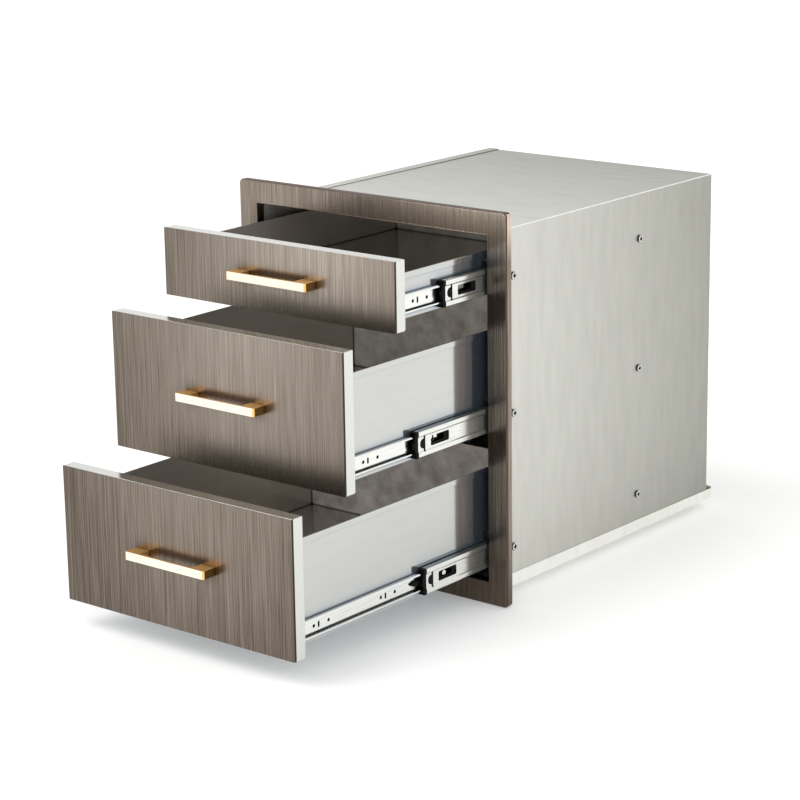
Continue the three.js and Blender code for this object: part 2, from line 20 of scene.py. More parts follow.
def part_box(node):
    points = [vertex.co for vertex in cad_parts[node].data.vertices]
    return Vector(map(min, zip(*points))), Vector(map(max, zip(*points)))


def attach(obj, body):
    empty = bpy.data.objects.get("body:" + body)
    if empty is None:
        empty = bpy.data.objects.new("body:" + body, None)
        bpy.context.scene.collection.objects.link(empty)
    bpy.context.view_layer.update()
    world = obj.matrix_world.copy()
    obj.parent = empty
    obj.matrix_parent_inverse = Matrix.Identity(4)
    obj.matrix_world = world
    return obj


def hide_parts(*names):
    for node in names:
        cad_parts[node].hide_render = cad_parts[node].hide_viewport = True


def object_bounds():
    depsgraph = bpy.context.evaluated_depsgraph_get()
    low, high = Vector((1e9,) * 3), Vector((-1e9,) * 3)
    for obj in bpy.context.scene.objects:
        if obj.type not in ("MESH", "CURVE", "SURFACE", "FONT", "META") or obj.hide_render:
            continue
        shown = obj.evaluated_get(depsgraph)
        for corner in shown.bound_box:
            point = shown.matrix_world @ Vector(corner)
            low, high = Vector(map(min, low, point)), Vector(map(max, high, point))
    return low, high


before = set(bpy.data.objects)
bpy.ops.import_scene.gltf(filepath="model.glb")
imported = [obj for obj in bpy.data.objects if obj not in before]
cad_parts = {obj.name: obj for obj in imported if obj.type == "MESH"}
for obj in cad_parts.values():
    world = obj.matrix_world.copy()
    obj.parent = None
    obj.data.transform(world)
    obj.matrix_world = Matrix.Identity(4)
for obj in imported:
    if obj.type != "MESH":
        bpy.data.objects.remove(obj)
cad_low, cad_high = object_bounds()

MM = 0.001
scene = bpy.context.scene


def box_mm(node):
    """Lowest and highest corner of a part of the frame, in millimetres, as two arrays."""
    low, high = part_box(node)
    return np.array(low) / MM, np.array(high) / MM


# %% [markdown]
# ## Camera
#
# The camera comes first, because every choice after it is judged through it. It stands in front of the
# unit to the right and looks slightly down. Its focal length is given in pixels of an 800-pixel picture,
# which a 36 mm sensor turns into millimetres.

# %% Camera
PICTURE_PX = 800
FOCAL_PX = 2543.49
SENSOR_MM = 36
CAMERA_AZIMUTH, CAMERA_ELEVATION, CAMERA_ROLL = np.radians([39.16, 15.01, -0.87])
CAMERA_DISTANCE = 3.36458
CAMERA_TARGET = Vector((0.05027, -0.012, 0.24978))


def camera_place(azimuth, elevation, roll):
    """The camera's matrix, read from the right. It starts at the target and looks down. It is drawn back,
    rolled about its line of sight, raised until that line is elevation above the floor, and turned to its
    azimuth, where 0 looks along +Y."""
    return (Matrix.Translation(CAMERA_TARGET) @ Matrix.Rotation(azimuth, 4, "Z")
            @ Matrix.Rotation(math.pi / 2 - elevation, 4, "X") @ Matrix.Rotation(roll, 4, "Z")
            @ Matrix.Translation((0, 0, CAMERA_DISTANCE)))


camera = bpy.data.objects.new("camera", bpy.data.cameras.new("camera"))
camera.data.sensor_width = SENSOR_MM
camera.data.lens = FOCAL_PX / PICTURE_PX * SENSOR_MM
camera.matrix_world = camera_place(CAMERA_AZIMUTH, CAMERA_ELEVATION, CAMERA_ROLL)
scene.collection.objects.link(camera)
scene.camera = camera
print(f"camera: {camera.data.lens:.1f} mm lens")

# %% [markdown]
# ## Colours and nodes
#
# Colours are written as sRGB hex values, as a paint shop or a web page gives them. Shaders work in linear
# light, so one function turns them. A second one adds any shader node with its settings and its inputs. An
# input is a plain value, a socket of another node, or another node, which then stands for its first output.

# %% Colours and nodes
WHITE = (1.0, 1.0, 1.0, 1.0)


def linear(colour):
    """An sRGB hex colour as linear RGBA: each channel is c / 12.92 below 0.04045, else
    ((c + 0.055) / 1.055) ** 2.4."""
    value = np.array([int(colour[i:i + 2], 16) for i in (1, 3, 5)]) / 255
    value = np.where(value <= 0.04045, value / 12.92, ((value + 0.055) / 1.055) ** 2.4)
    return (*value.tolist(), 1.0)


def add(tree, kind, inputs=(), stops=(), **settings):
    """Adds a node. inputs is a list in the order of its sockets, or a dict by their names or numbers. stops
    are those of a colour ramp, in rising order, each a place and an sRGB colour."""
    node = tree.nodes.new("ShaderNode" + kind)
    for name, value in settings.items():
        setattr(node, name, value)
    for name, value in inputs.items() if isinstance(inputs, dict) else enumerate(inputs):
        value = value.outputs[0] if isinstance(value, bpy.types.Node) else value
        if isinstance(value, bpy.types.NodeSocket):
            tree.links.new(value, node.inputs[name])
        else:
            node.inputs[name].default_value = value
    for number, (place, colour) in enumerate(stops):
        elements = node.color_ramp.elements
        element = elements[number] if number < len(elements) else elements.new(place)
        element.position, element.color = place, linear(colour)
    return node


def new_material(name):
    """A named material with an empty tree, and the tree."""
    material = bpy.data.materials.new(name)
    material.use_nodes = True
    material.node_tree.nodes.clear()
    return material, material.node_tree


print("brown hairline in linear light:", [round(v, 3) for v in linear("#8a7f75")])

# %% [markdown]
# ## Light, floor and background
#
# The unit stands in a white studio. A uniform sky gives the plain level, and a wide lamp from the upper left
# and one weaker lamp from the right give it form. Both lamps are suns, so their light is the same all over
# and no bright patch lies on the floor. Metal is only as bright as what it reflects, so rays that come from
# the camera or from a reflection see a pure white background, while the light on the object stays lower.

# %% Light, floor and background
SKY_LEVEL = 0.78
KEY_LIGHT, KEY_ANGLE, KEY_TURN = 1.1, 40, (38, 0, -38)
FILL_LIGHT, FILL_ANGLE, FILL_TURN = 0.35, 70, (55, 0, 84)
FLOOR_HALF_WIDTH = 30
FLOOR_GAP = 0.0005
FLOOR_GLOW = 0.22


def white_for_reflections(tree, plain, bright):
    """Mixes two shaders: bright for camera, glossy and transmission rays, and plain for all others."""
    path = add(tree, "LightPath").outputs
    seen = add(tree, "Math", [path["Is Camera Ray"], path["Is Glossy Ray"]], operation="MAXIMUM")
    seen = add(tree, "Math", [seen, path["Is Transmission Ray"]], operation="MAXIMUM")
    return add(tree, "MixShader", [seen, plain, bright])


def make_world():
    """A uniform sky at the plain level, white where it is seen."""
    world = bpy.data.worlds.new("studio")
    world.use_nodes = True
    tree = world.node_tree
    tree.nodes.clear()
    plain, bright = [add(tree, "Background", [WHITE, level]) for level in (SKY_LEVEL, 1.0)]
    add(tree, "OutputWorld", [white_for_reflections(tree, plain, bright)])
    scene.world = world


def make_lamp(name, strength, angle, turn_degrees):
    """A sun lamp as wide as angle degrees, turned about X, Y and Z."""
    lamp = bpy.data.lights.new(name, "SUN")
    lamp.energy = strength
    lamp.angle = math.radians(angle)
    lamp_object = bpy.data.objects.new(name, lamp)
    lamp_object.rotation_euler = [math.radians(value) for value in turn_degrees]
    scene.collection.objects.link(lamp_object)


def make_floor():
    """A wide pale floor that renders white where the light is full and keeps the object's shadow."""
    half, low = FLOOR_HALF_WIDTH, cad_low.z - FLOOR_GAP
    mesh = bpy.data.meshes.new("floor")
    mesh.from_pydata([(-half, -half, low), (half, -half, low), (half, half, low), (-half, half, low)],
                     [], [(0, 1, 2, 3)])
    material, tree = new_material("matt_white_studio_floor")
    plain = add(tree, "BsdfDiffuse", [linear("#f4f4f3")])
    bright = add(tree, "AddShader", [plain, add(tree, "Emission", [WHITE, FLOOR_GLOW])])
    add(tree, "OutputMaterial", [white_for_reflections(tree, plain, bright)])
    mesh.materials.append(material)
    floor = bpy.data.objects.new("floor", mesh)
    scene.collection.objects.link(floor)


make_world()
make_lamp("key_sun", KEY_LIGHT, KEY_ANGLE, KEY_TURN)
make_lamp("fill_sun", FILL_LIGHT, FILL_ANGLE, FILL_TURN)
make_floor()
scene.view_settings.view_transform = "Standard"
print("sky", SKY_LEVEL, "key", KEY_LIGHT, "fill", FILL_LIGHT)

# %% [markdown]
# ## Hairline steel, coated brown
#
# The frame and the drawer fronts are stainless steel with a hairline finish and a brown-grey coating. The
# finish is made by a wide abrasive belt that runs one way, and it leaves straight scratches of uneven width,
# some of them long. The eye sees fine upright streaks, a little lighter or darker than the ground. A noise
# stretched along Z gives them, and two are mixed, because real streaks have no one width. Real hairlines
# are a tenth of these widths, which would not show, so they are drawn as coarse as they need to be.
#
# Metal also darkens beside other metal, because it mirrors that instead of the white studio. That shade is
# painted into the colour: Ambient Occlusion gives the share of open space that a point sees, and the colour
# follows it. A soft painted highlight and a painted light in the top right corner lighten the colour too.

# %% Hairline steel
STREAK, HAIR = (0.9, 260), (0.6, 70)
HAIR_SHARE = 0.55
HAIRLINE_ROUGHNESS, HAIRLINE_HEIGHT = (0.32, 0.24), 0.05
NOISE_RANGE = (0.3, 0.7)
TRACE = 0.1
PAINTED_HIGHLIGHT_PLACE, PAINTED_HIGHLIGHT_REACH = np.array([50.0, 0.0, 540.0]), np.array([290.0, 1e5, 600.0])
OPEN_SPACE_SAMPLES = 12
SHADE_FADE = 12


def object_axis(tree, axis):
    """The place on the object along X, Y or Z, in metres."""
    return add(tree, "SeparateXYZ", [add(tree, "TexCoord").outputs["Object"]]).outputs[axis]


def stretched_noise(tree, across, along, detail=3.0, axis="z", roughness=0.6):
    """A noise whose patches are across wide and along long, in millimetres, with the long way on one axis.

    A Mapping node divides the coordinates by these lengths, so that one unit of noise is one patch.
    """
    scale = [1 / ((along if name == axis else across) * MM) for name in "xyz"]
    mapped = add(tree, "Mapping", {"Vector": add(tree, "TexCoord").outputs["Object"], "Scale": scale})
    return add(tree, "TexNoise", {"Vector": mapped, "Scale": 1.0, "Detail": detail, "Roughness": roughness})


def painted_crevice_shade(tree, colour, reach, dark, low=0.2, high=0.95, lean=None, free_above=None):
    """Paints shade into a colour where other metal stands closer than reach millimetres.

    Where the share of open space falls to low, the colour is multiplied by the hex colour dark, and where
    it is high or more, by white. lean tilts the view from the face's normal, and above the height
    free_above nothing is darkened.
    """
    inputs = {"Distance": reach * MM}
    if lean:
        inputs["Normal"] = add(tree, "VectorMath", [add(tree, "NewGeometry").outputs["Normal"], lean])
    space = add(tree, "AmbientOcclusion", inputs, samples=OPEN_SPACE_SAMPLES).outputs["AO"]
    share = add(tree, "MapRange", [space, low, high])
    if free_above:
        clear = add(tree, "MapRange", [object_axis(tree, "Z"), (free_above - SHADE_FADE) * MM,
                                       free_above * MM])
        share = add(tree, "Math", [share, clear], operation="MAXIMUM")
    tint = add(tree, "ValToRGB", [share], [(0, dark), (1, "#ffffff")])
    return add(tree, "VectorMath", [colour, tint], operation="MULTIPLY")


def metal_surface(tree, colour, grain, roughness, height, inputs):
    """A metal's shader and output. Its roughness runs with a grain from one value to the other, and the
    grain stands up by TRACE times height, unless that is None."""
    rough = add(tree, "MapRange", [grain, *NOISE_RANGE, *roughness])
    inputs = {"Base Color": colour, "Roughness": rough, **inputs}
    if height is not None:
        inputs["Normal"] = add(tree, "Bump", {"Strength": height, "Distance": TRACE * MM, "Height": grain})
    add(tree, "OutputMaterial", [add(tree, "BsdfPrincipled", inputs)])


def hairline_steel(name, stops, painted_highlight, shade, painted_corner_light):
    """Brown-grey coated hairline steel: metallic, with streaks in colour, roughness and height.

    A lamp of the studio is painted into its colour twice. painted_highlight is the share of a soft painted
    highlight in the tone, 1 - d, where d is the distance from PAINTED_HIGHLIGHT_PLACE divided by
    PAINTED_HIGHLIGHT_REACH along each axis. painted_corner_light is painted light: a factor for the colour at
    the top right, and the spans in x and z over which it grows, in millimetres. shade holds the painted shade.
    """
    material, tree = new_material(name)
    grain = add(tree, "Mix", {0: HAIR_SHARE, 2: stretched_noise(tree, *STREAK, 1.0),
                              3: stretched_noise(tree, *HAIR, 1.0)}, data_type="FLOAT")
    # A painted highlight: a soft lighter patch in the tone of the colour.
    scale = 1 / (PAINTED_HIGHLIGHT_REACH * MM)
    centred = add(tree, "Mapping", {"Vector": add(tree, "TexCoord").outputs["Object"],
                                    "Location": -PAINTED_HIGHLIGHT_PLACE * MM * scale, "Scale": scale})
    patch = add(tree, "TexGradient", [centred], gradient_type="SPHERICAL").outputs["Fac"]
    tone = add(tree, "Mix", {0: painted_highlight, 2: grain, 3: patch}, data_type="FLOAT")
    # Painted light: the colour grows brighter towards the top right.
    factor, *spans = painted_corner_light
    rightward, upward = [add(tree, "MapRange", [object_axis(tree, axis), start * MM, end * MM])
                         for axis, (start, end) in zip("XZ", spans)]
    corner = add(tree, "Math", [rightward, upward], operation="MULTIPLY")
    colour = add(tree, "VectorMath", {0: add(tree, "ValToRGB", [tone], stops),
                                      "Scale": add(tree, "MapRange", [corner, 0, 1, 1, factor])},
                 operation="SCALE")
    metal_surface(tree, painted_crevice_shade(tree, colour, **shade), grain, HAIRLINE_ROUGHNESS, HAIRLINE_HEIGHT,
                  {"Metallic": 1.0})
    return material


# Painted light and shade on the fronts: a soft painted highlight in the middle and upper part, a painted light
# that makes the top right up to 1.2 times brighter, and painted shade where the handles and other parts stand
# near.
FRONT_HAIRLINE = hairline_steel("brown_coated_hairline_stainless", [
    (0.32, "#5c5249"), (0.41, "#7b7066"), (0.50, "#897f75"), (0.59, "#978d83"), (0.68, "#aea49a")],
    0.3, dict(reach=22, dark="#6b6058"), (1.2, (20, 180), (390, 480)))
# Painted light and shade on the frame: painted shade where the drawers stand near, none above 490 mm, and a
# painted light that makes the top right up to 2.6 times brighter.
FRAME_HAIRLINE = hairline_steel("brown_coated_hairline_frame", [
    (0.36, "#6c6157"), (0.50, "#887d72"), (0.64, "#a39990")],
    0.0, dict(reach=150, dark="#b5aea7", low=0.45, free_above=490), (2.6, (0, 170), (455, 500)))
print("streaks", STREAK[0], "mm wide, hairs", HAIR[0], "mm")

# %% [markdown]
# ## Bright sheet, zinc, gold and plastic
#
# The other finishes differ in how their surface was made, and some also carry painted light and shade.
# Each one's comment says what that gives the eye. They share one recipe: a base colour that a noise varies
# slightly, a roughness that follows it and a trace of height. The numbers make the difference, so one
# function takes them. Marks of rolling, brushing and grit are some hundredths of a millimetre wide, so all
# are drawn as coarse as they need to show.

# %% A recipe for sheet metal
CABINET_DEPTH = 527
PAINTED_BRIGHT_BAND = (0.02, 0.055)
ROLLER_MARK = 14
REARWARD = (0, 0.8, 0)


def rolled_metal(name, dark, light, roughness, patch, axis="y", height=0.0, metallic=1.0, detail=3.0,
                 specular=0.5, shade=None, glow=0.0):
    """A metal whose colour runs between two hex colours with a noise.

    patch is the width and length of its grain in millimetres, along axis. roughness is for its dark and its
    light places. shade holds what crevice() needs. glow stands for light that is bounced into a deep place,
    which a render of few samples misses.
    """
    material, tree = new_material(name)
    grain = stretched_noise(tree, *patch, detail, axis)
    colour = add(tree, "ValToRGB", [grain], [(NOISE_RANGE[0], dark), (NOISE_RANGE[1], light)])
    # Painted shade where other metal stands near.
    if shade:
        colour = painted_crevice_shade(tree, colour, **shade)
    metal_surface(tree, colour, grain, roughness, height, {
        "Metallic": metallic, "Specular IOR Level": specular, "Emission Color": colour,
        "Emission Strength": glow})
    return material


def cabinet_sheet(name, edge, front, rear, roughness):
    """Galvanised sheet with painted light that makes it bright beside the frame, to PAINTED_BRIGHT_BAND of the
    depth, and painted shade that makes it darker towards the rear. Faint roller marks are upright on the walls
    and run from side to side on the roof."""
    material, tree = new_material(name)
    # Painted light beside the frame and painted shade towards the rear, by depth.
    rearward = add(tree, "MapRange", [object_axis(tree, "Y"), 0, CABINET_DEPTH * MM])
    colour = add(tree, "ValToRGB", [rearward], [(0.0, edge), (PAINTED_BRIGHT_BAND[0], edge), (PAINTED_BRIGHT_BAND[1], front),
                                                (1.0, rear)])
    marks = stretched_noise(tree, 5 * ROLLER_MARK, ROLLER_MARK, 3.0, "y", 0.5)
    tint = add(tree, "ValToRGB", [marks], [(0.25, "#f6f6f6"), (0.65, "#ffffff")])
    colour = add(tree, "VectorMath", [colour, tint], operation="MULTIPLY")
    metal_surface(tree, colour, marks, roughness, None, {"Metallic": 0.85})
    return material


# Rolled between polished rolls, so nearly a mirror: the edges of the fronts are as white as the studio.
SHELL_STEEL = rolled_metal("bright_rolled_stainless", "#d2d3ce", "#d9dad5", (0.16, 0.12), (3, 90), "x")
# The same sheet, a little duller. Painted shade turns it blue-grey where the frame is near, and lean looks
# rearward for it.
BOX_STEEL = rolled_metal("smooth_cold_rolled_stainless", "#c6c7c4", "#cacbc9", (0.1, 0.1), (8, 120),
                         metallic=0.85,
                         shade=dict(reach=60, dark="#b4c2d6", low=0.45, high=0.8, lean=REARWARD))
# Dipped in zinc and rolled: a soft, broad shine on the walls, and near-white zinc on the base. Both get
# painted light beside the frame and painted shade towards the rear.
GALVANISED = cabinet_sheet("galvanised_sheet", "#f2f4f1", "#d1d1ca", "#a0a098", (0.44, 0.4))
BASE_ZINC_AND_FOLD_HIGHLIGHT = cabinet_sheet("bright_galvanised_base_sheet", "#ffffff", "#fffffb", "#f8f8f1", (0.2, 0.16))
# Zinc plate on rolled strip: white, faintly yellow and a little soft, with painted shade that darkens its
# grooves.
ZINC = rolled_metal("zinc_plated_steel", "#dfe2e3", "#f0efe8", (0.2, 0.13), (2, 30), height=0.02,
                    shade=dict(reach=6, dark="#4a5058", low=0.25, high=0.85))
# The middle rails' zinc gets painted blue-grey shade where the frame is near, and lean looks rearward for it.
RAIL_ZINC = rolled_metal("zinc_with_painted_blue_grey_shade", "#d9dcdc", "#eeede4", (0.2, 0.13), (2, 30), height=0.02,
                         metallic=0.9,
                         shade=dict(reach=60, dark="#b8c2c8", low=0.4, high=0.78, lean=REARWARD))
# Screws are cold-headed and plated: greyer, with painted shade close round their heads, a black cross of
# painted shade and a dark ring of painted shade where the rim turns down.
SCREW_ZINC = rolled_metal("bright_zinc_plated_screw_steel", "#c9c8c3", "#e2e0da", (0.26, 0.18), (1, 1),
                          height=0.03, shade=dict(reach=4, dark="#202020", low=0.4, high=0.98))
SCREW_RIM_SHADE = rolled_metal("screw_rim_painted_shade", "#3c3b38", "#4e4d4a", (0.4, 0.3), (1, 1), height=0.03)
# Bare strip is grey and dull, and ground balls are mirrors.
CAGE_STEEL = rolled_metal("plain_rolled_strip_steel", "#9d9f9f", "#b9bbbb", (0.4, 0.3), (2, 20), height=0.06)
BALL_STEEL = rolled_metal("polished_ball_steel", "#d2d3d3", "#dcdddd", (0.09, 0.06), (1, 1))
# Gold plate: a warm satin on the posts and the top, a pale glare in front that is a painted highlight, and
# ends painted dark as shade.
GOLD = rolled_metal("satin_champagne_gold_plating", "#ffc878", "#ffd48e", (0.42, 0.36), (0.6, 30), "x")
GOLD_GLARE = rolled_metal("pale_gold_face_painted_glare", "#fff0d2", "#fffaf0", (0.34, 0.26), (0.5, 40), "x", 0.04)
GOLD_END_SHADE = rolled_metal("gold_end_painted_shade", "#8a6a3a", "#9b7a47", (0.3, 0.24), (0.6, 8), "y", 0.03)
# The drawers' inside faces mirror each other, so painted reflection makes them warmer and darker than the
# outside, and painted shade darkens their corners. The back walls get painted light, blotches of painted
# reflection, and in the two deep drawers, which get least light, a faint painted glow.
CORNER_SHADE = dict(reach=4, dark="#303030", low=0.5, high=0.85)
PAINTED_REFLECTION_BLOTCHES = dict(roughness=(0.5, 0.5), patch=(22, 22), metallic=0.1, detail=4.0, shade=CORNER_SHADE)
INSIDE_PAINTED_REFLECTION = rolled_metal("inside_of_the_drawer_painted_reflection", "#cdc7c0", "#d3cdc6", (0.2, 0.2), (6, 60), metallic=0.7,
                     shade=CORNER_SHADE)
BACK_WALL_PAINTED_LIGHT = rolled_metal("back_wall_of_the_drawer_painted_light", "#d2ccc0", "#ffffff", **PAINTED_REFLECTION_BLOTCHES)
BACK_WALL_PAINTED_GLOW = rolled_metal("back_wall_of_a_deep_drawer_painted_glow", "#c4bdb2", "#fffaf4", glow=0.065,
                              **PAINTED_REFLECTION_BLOTCHES)
# Acetal comes from the mould fine-grained and matt, so it is black with hardly a highlight. The same black
# is painted shade in the wall screws' cross recesses and on a thin sheet behind the drawer rails' holes.
PLASTIC_AND_PAINTED_SHADE = rolled_metal("moulded_black_acetal_and_painted_shade", "#020203", "#060607", (0.6, 0.5), (1.5, 1.5), "y", 0.06, 0.0,
                       specular=0.12)
# The sheared edges and the bends mirror darker things than the face does, so they are painted a darker
# brown as shade.
EDGE_SHADE = rolled_metal("brown_edge_painted_shade", "#2a2118", "#3b3026", (0.5, 0.4), (1, 8), "z", 0.02,
                          0.5)
BEND_SHADE = rolled_metal("brown_bend_painted_shade", "#4a3a33", "#5a4940", (0.5, 0.42), (1, 30), "x", 0.02, 0.7)
print("metals:", ", ".join(material.name for material in bpy.data.materials))

# %% [markdown]
# ## Round bends and folded sheets
#
# A press brake bends sheet round a small radius, so the inner side of a bend has that radius and the outer
# side has the radius plus the sheet. The outline of a folded sheet is its centre line, shifted by half the
# sheet to both sides, with those two radii at each bend. This one helper gives the frame, the cabinet, the
# drawers and all members of the slides their true sections.

# %% Round bends
TINY = 1e-6


def rounded(points, radii, steps=5):
    """A closed outline with its corners rounded off.

    Where the outline turns by t, a circle of radius r touches both sides at r * tan(|t| / 2) from the
    corner. Its points are the first touching point, turned about the circle's centre by equal parts of t.
    """
    points = np.asarray(points, float)
    radii = np.broadcast_to(np.asarray(radii, float), len(points))
    before = points - np.roll(points, 1, axis=0)
    after = np.roll(points, -1, axis=0) - points
    before /= np.linalg.norm(before, axis=1, keepdims=True)
    after /= np.linalg.norm(after, axis=1, keepdims=True)
    turned = np.arctan2(before[:, 0] * after[:, 1] - before[:, 1] * after[:, 0], (before * after).sum(1))
    start = points - before * (radii * np.tan(np.abs(turned) / 2))[:, None]
    left = np.stack([-before[:, 1], before[:, 0]], 1)
    centre = start + left * (np.sign(turned) * radii)[:, None]
    angle = turned[:, None] * np.linspace(0, 1, steps + 1)
    arm = start - centre
    across = centre[:, :1] + arm[:, :1] * np.cos(angle) - arm[:, 1:] * np.sin(angle)
    along = centre[:, 1:] + arm[:, :1] * np.sin(angle) + arm[:, 1:] * np.cos(angle)
    outline = np.stack([across, along], -1).reshape(-1, 2)
    return outline[np.linalg.norm(outline - np.roll(outline, 1, axis=0), axis=1) > TINY]


def folded_sheet(line, thickness, bend, steps=5):
    """The outline of a sheet whose centre line is bent at each inner point.

    At a bend the shift is along the mitre m = n1 + n2 of the two normals, scaled so that its part along n1
    is half the thickness. The inner side gets radius bend, and the outer side bend + thickness.
    """
    line = np.asarray(line, float)
    along = np.diff(line, axis=0)
    along /= np.linalg.norm(along, axis=1, keepdims=True)
    normal = np.stack([-along[:, 1], along[:, 0]], 1)
    before = np.concatenate([normal[:1], normal])
    after = np.concatenate([normal, normal[-1:]])
    mitre = before + after
    offset = mitre * (thickness / 2 / (mitre * before).sum(1))[:, None]
    turned = np.zeros(len(line))
    turned[1:-1] = along[:-1, 0] * along[1:, 1] - along[:-1, 1] * along[1:, 0]
    left_radius = np.where(turned > 0, bend, bend + thickness) * (np.abs(turned) > TINY)
    right_radius = np.where(turned < 0, bend, bend + thickness) * (np.abs(turned) > TINY)
    outline = np.concatenate([line + offset, (line - offset)[::-1]])
    return rounded(outline, np.concatenate([left_radius, right_radius[::-1]]), steps)


print("points round a folded corner:", len(folded_sheet([(0, 0), (10, 0), (10, 10)], 1, 1)))

# %% [markdown]
# ## Surfaces from rings
#
# Nearly every piece is a row of rings with faces between them. A ring is the section of a straight bar, a
# circle on an axis, or a rectangle with round corners that shrinks as it runs along a profile. All rings of
# a piece have the same number of points, so the whole surface is one array, rows by columns.

# %% Surfaces from rings
CORNER_STEPS = 6
LEAST_RADIUS = 0.5


def ringed(rings, loop=False):
    """A solid from an array of rings, (rows, columns, 3).

    Point j of ring i is joined to point j + 1 and to ring i + 1, and the columns close on themselves. The
    rows close too if loop is true, and otherwise the first and last ring get a cap.
    """
    rows, columns = rings.shape[:2]
    index = np.arange(rows * columns).reshape(rows, columns)
    beside = np.roll(index, -1, axis=1)
    corners = np.stack([index, beside, np.roll(beside, -1, axis=0), np.roll(index, -1, axis=0)], -1)
    if loop:
        return rings.reshape(-1, 3), corners.reshape(-1, 4).tolist()
    caps = [index[0, ::-1].tolist(), index[-1].tolist()]
    return rings.reshape(-1, 3), corners[:-1].reshape(-1, 4).tolist() + caps


def bar(outline, start, end, axis="y"):
    """A section carried straight along an axis. A section's two numbers are the two other axes, in
    their order x, y, z."""
    places = "xyz".index(axis)
    others = [i for i in range(3) if i != places]
    rings = np.zeros((2, len(outline), 3))
    rings[:, :, others] = outline
    rings[0, :, places], rings[1, :, places] = start, end
    return ringed(rings)


def rectangle(left, right, lower, upper):
    """The corners of a rectangle, from the lower left one round to the right."""
    return np.array([(left, lower), (right, lower), (right, upper), (left, upper)])


def rectangle_rings(profile, low, high, corner, low_insets=None):
    """A profile carried round a box, seen from the front and with round corners, as rings for ringed().

    A profile point (s, y) gives the ring that lies s inside the box's outline, at depth y. Its corners are
    quarter circles of radius max(corner - s, LEAST_RADIUS), and each centre lies that radius inside both
    sides. low_insets gives the lower side an inset of its own.
    """
    profile = np.asarray(profile, float)
    half, middle = (high - low) / 2, (high + low) / 2
    inset = profile[:, :1]
    low_inset = inset if low_insets is None else np.asarray(low_insets, float)[:, None]
    radius = np.maximum(corner - inset, LEAST_RADIUS)
    quarter = np.repeat(np.arange(4), CORNER_STEPS + 1)
    angle = (quarter + np.tile(np.linspace(0, 1, CORNER_STEPS + 1), 4)) * math.pi / 2
    side_x = np.where((quarter == 0) | (quarter == 3), 1, -1)
    side_z = np.where(quarter < 2, 1, -1)
    x = middle[0] + side_x * (half[0] - inset - radius) + radius * np.cos(angle)
    reach = half[2] - np.where(side_z > 0, inset, low_inset) - radius
    z = middle[2] + side_z * reach + radius * np.sin(angle)
    y = np.broadcast_to(profile[:, 1:], x.shape)
    return np.stack([x, y, z], -1)


def turned_rings(profile, axis, centre, sides):
    """A profile of (radius, place along the axis) points turned round an axis through centre."""
    profile = np.asarray(profile, float)
    angle = np.arange(sides) * 2 * math.pi / sides
    places = "xyz".index(axis)
    others = [i for i in range(3) if i != places]
    rings = np.zeros((len(profile), sides, 3))
    rings[:, :, others[0]] = profile[:, :1] * np.cos(angle)
    rings[:, :, others[1]] = profile[:, :1] * np.sin(angle)
    rings[:, :, places] = profile[:, 1:]
    return rings + np.asarray(centre, float)


def rod(radius, start, end, axis, centre, sides=24):
    """A round rod between two places on its axis."""
    return ringed(turned_rings([(radius, start), (radius, end)], axis, centre, sides))


def joined(solids):
    """Several solids as one set of points and faces."""
    points, faces, count = [], [], 0
    for part_points, part_faces in solids:
        points.append(part_points)
        faces += [[index + count for index in face] for face in part_faces]
        count += len(part_points)
    return np.concatenate(points), faces


print("a plain rod has", len(rod(1, 0, 1, "y", (0, 0, 0))[1]), "faces")

# %% [markdown]
# ## From arrays to finished pieces
#
# A finished piece sits at the origin with its place in its mesh. Its normals are made to point outwards, a
# Bevel modifier breaks the edges that are still sharp, as handling and deburring do, and a Weighted Normal
# modifier keeps the flats flat. Holes are cut by a Boolean, whose result becomes the mesh.

# %% From arrays to finished pieces
BEVEL_ANGLE = math.radians(38)
FACING = 0.3
WELD = 1e-6


def mesh_of(name, solid):
    """A mesh in metres from points in millimetres, with its faces pointing out."""
    mesh = bpy.data.meshes.new(name)
    mesh.from_pydata((solid[0] * MM).tolist(), [], solid[1])
    shape = bmesh.new()
    shape.from_mesh(mesh)
    bmesh.ops.remove_doubles(shape, verts=shape.verts, dist=WELD)
    bmesh.ops.recalc_face_normals(shape, faces=shape.faces)
    shape.to_mesh(mesh)
    shape.free()
    return mesh


def cut(solid, cutters):
    """A solid less the cutters, by Blender's exact Boolean."""
    objects = [bpy.data.objects.new(name, mesh_of(name, made))
               for name, made in (("whole", solid), ("cutter", joined(cutters)))]
    for item in objects:
        scene.collection.objects.link(item)
    boolean = objects[0].modifiers.new("cut", "BOOLEAN")
    boolean.operation, boolean.solver, boolean.object = "DIFFERENCE", "EXACT", objects[1]
    boolean.use_self = True
    left = objects[0].evaluated_get(bpy.context.evaluated_depsgraph_get()).to_mesh()
    points = np.zeros(len(left.vertices) * 3)
    left.vertices.foreach_get("co", points)
    faces = [list(polygon.vertices) for polygon in left.polygons]
    for item in objects:
        bpy.data.meshes.remove(item.data)
    return points.reshape(-1, 3) / MM, faces


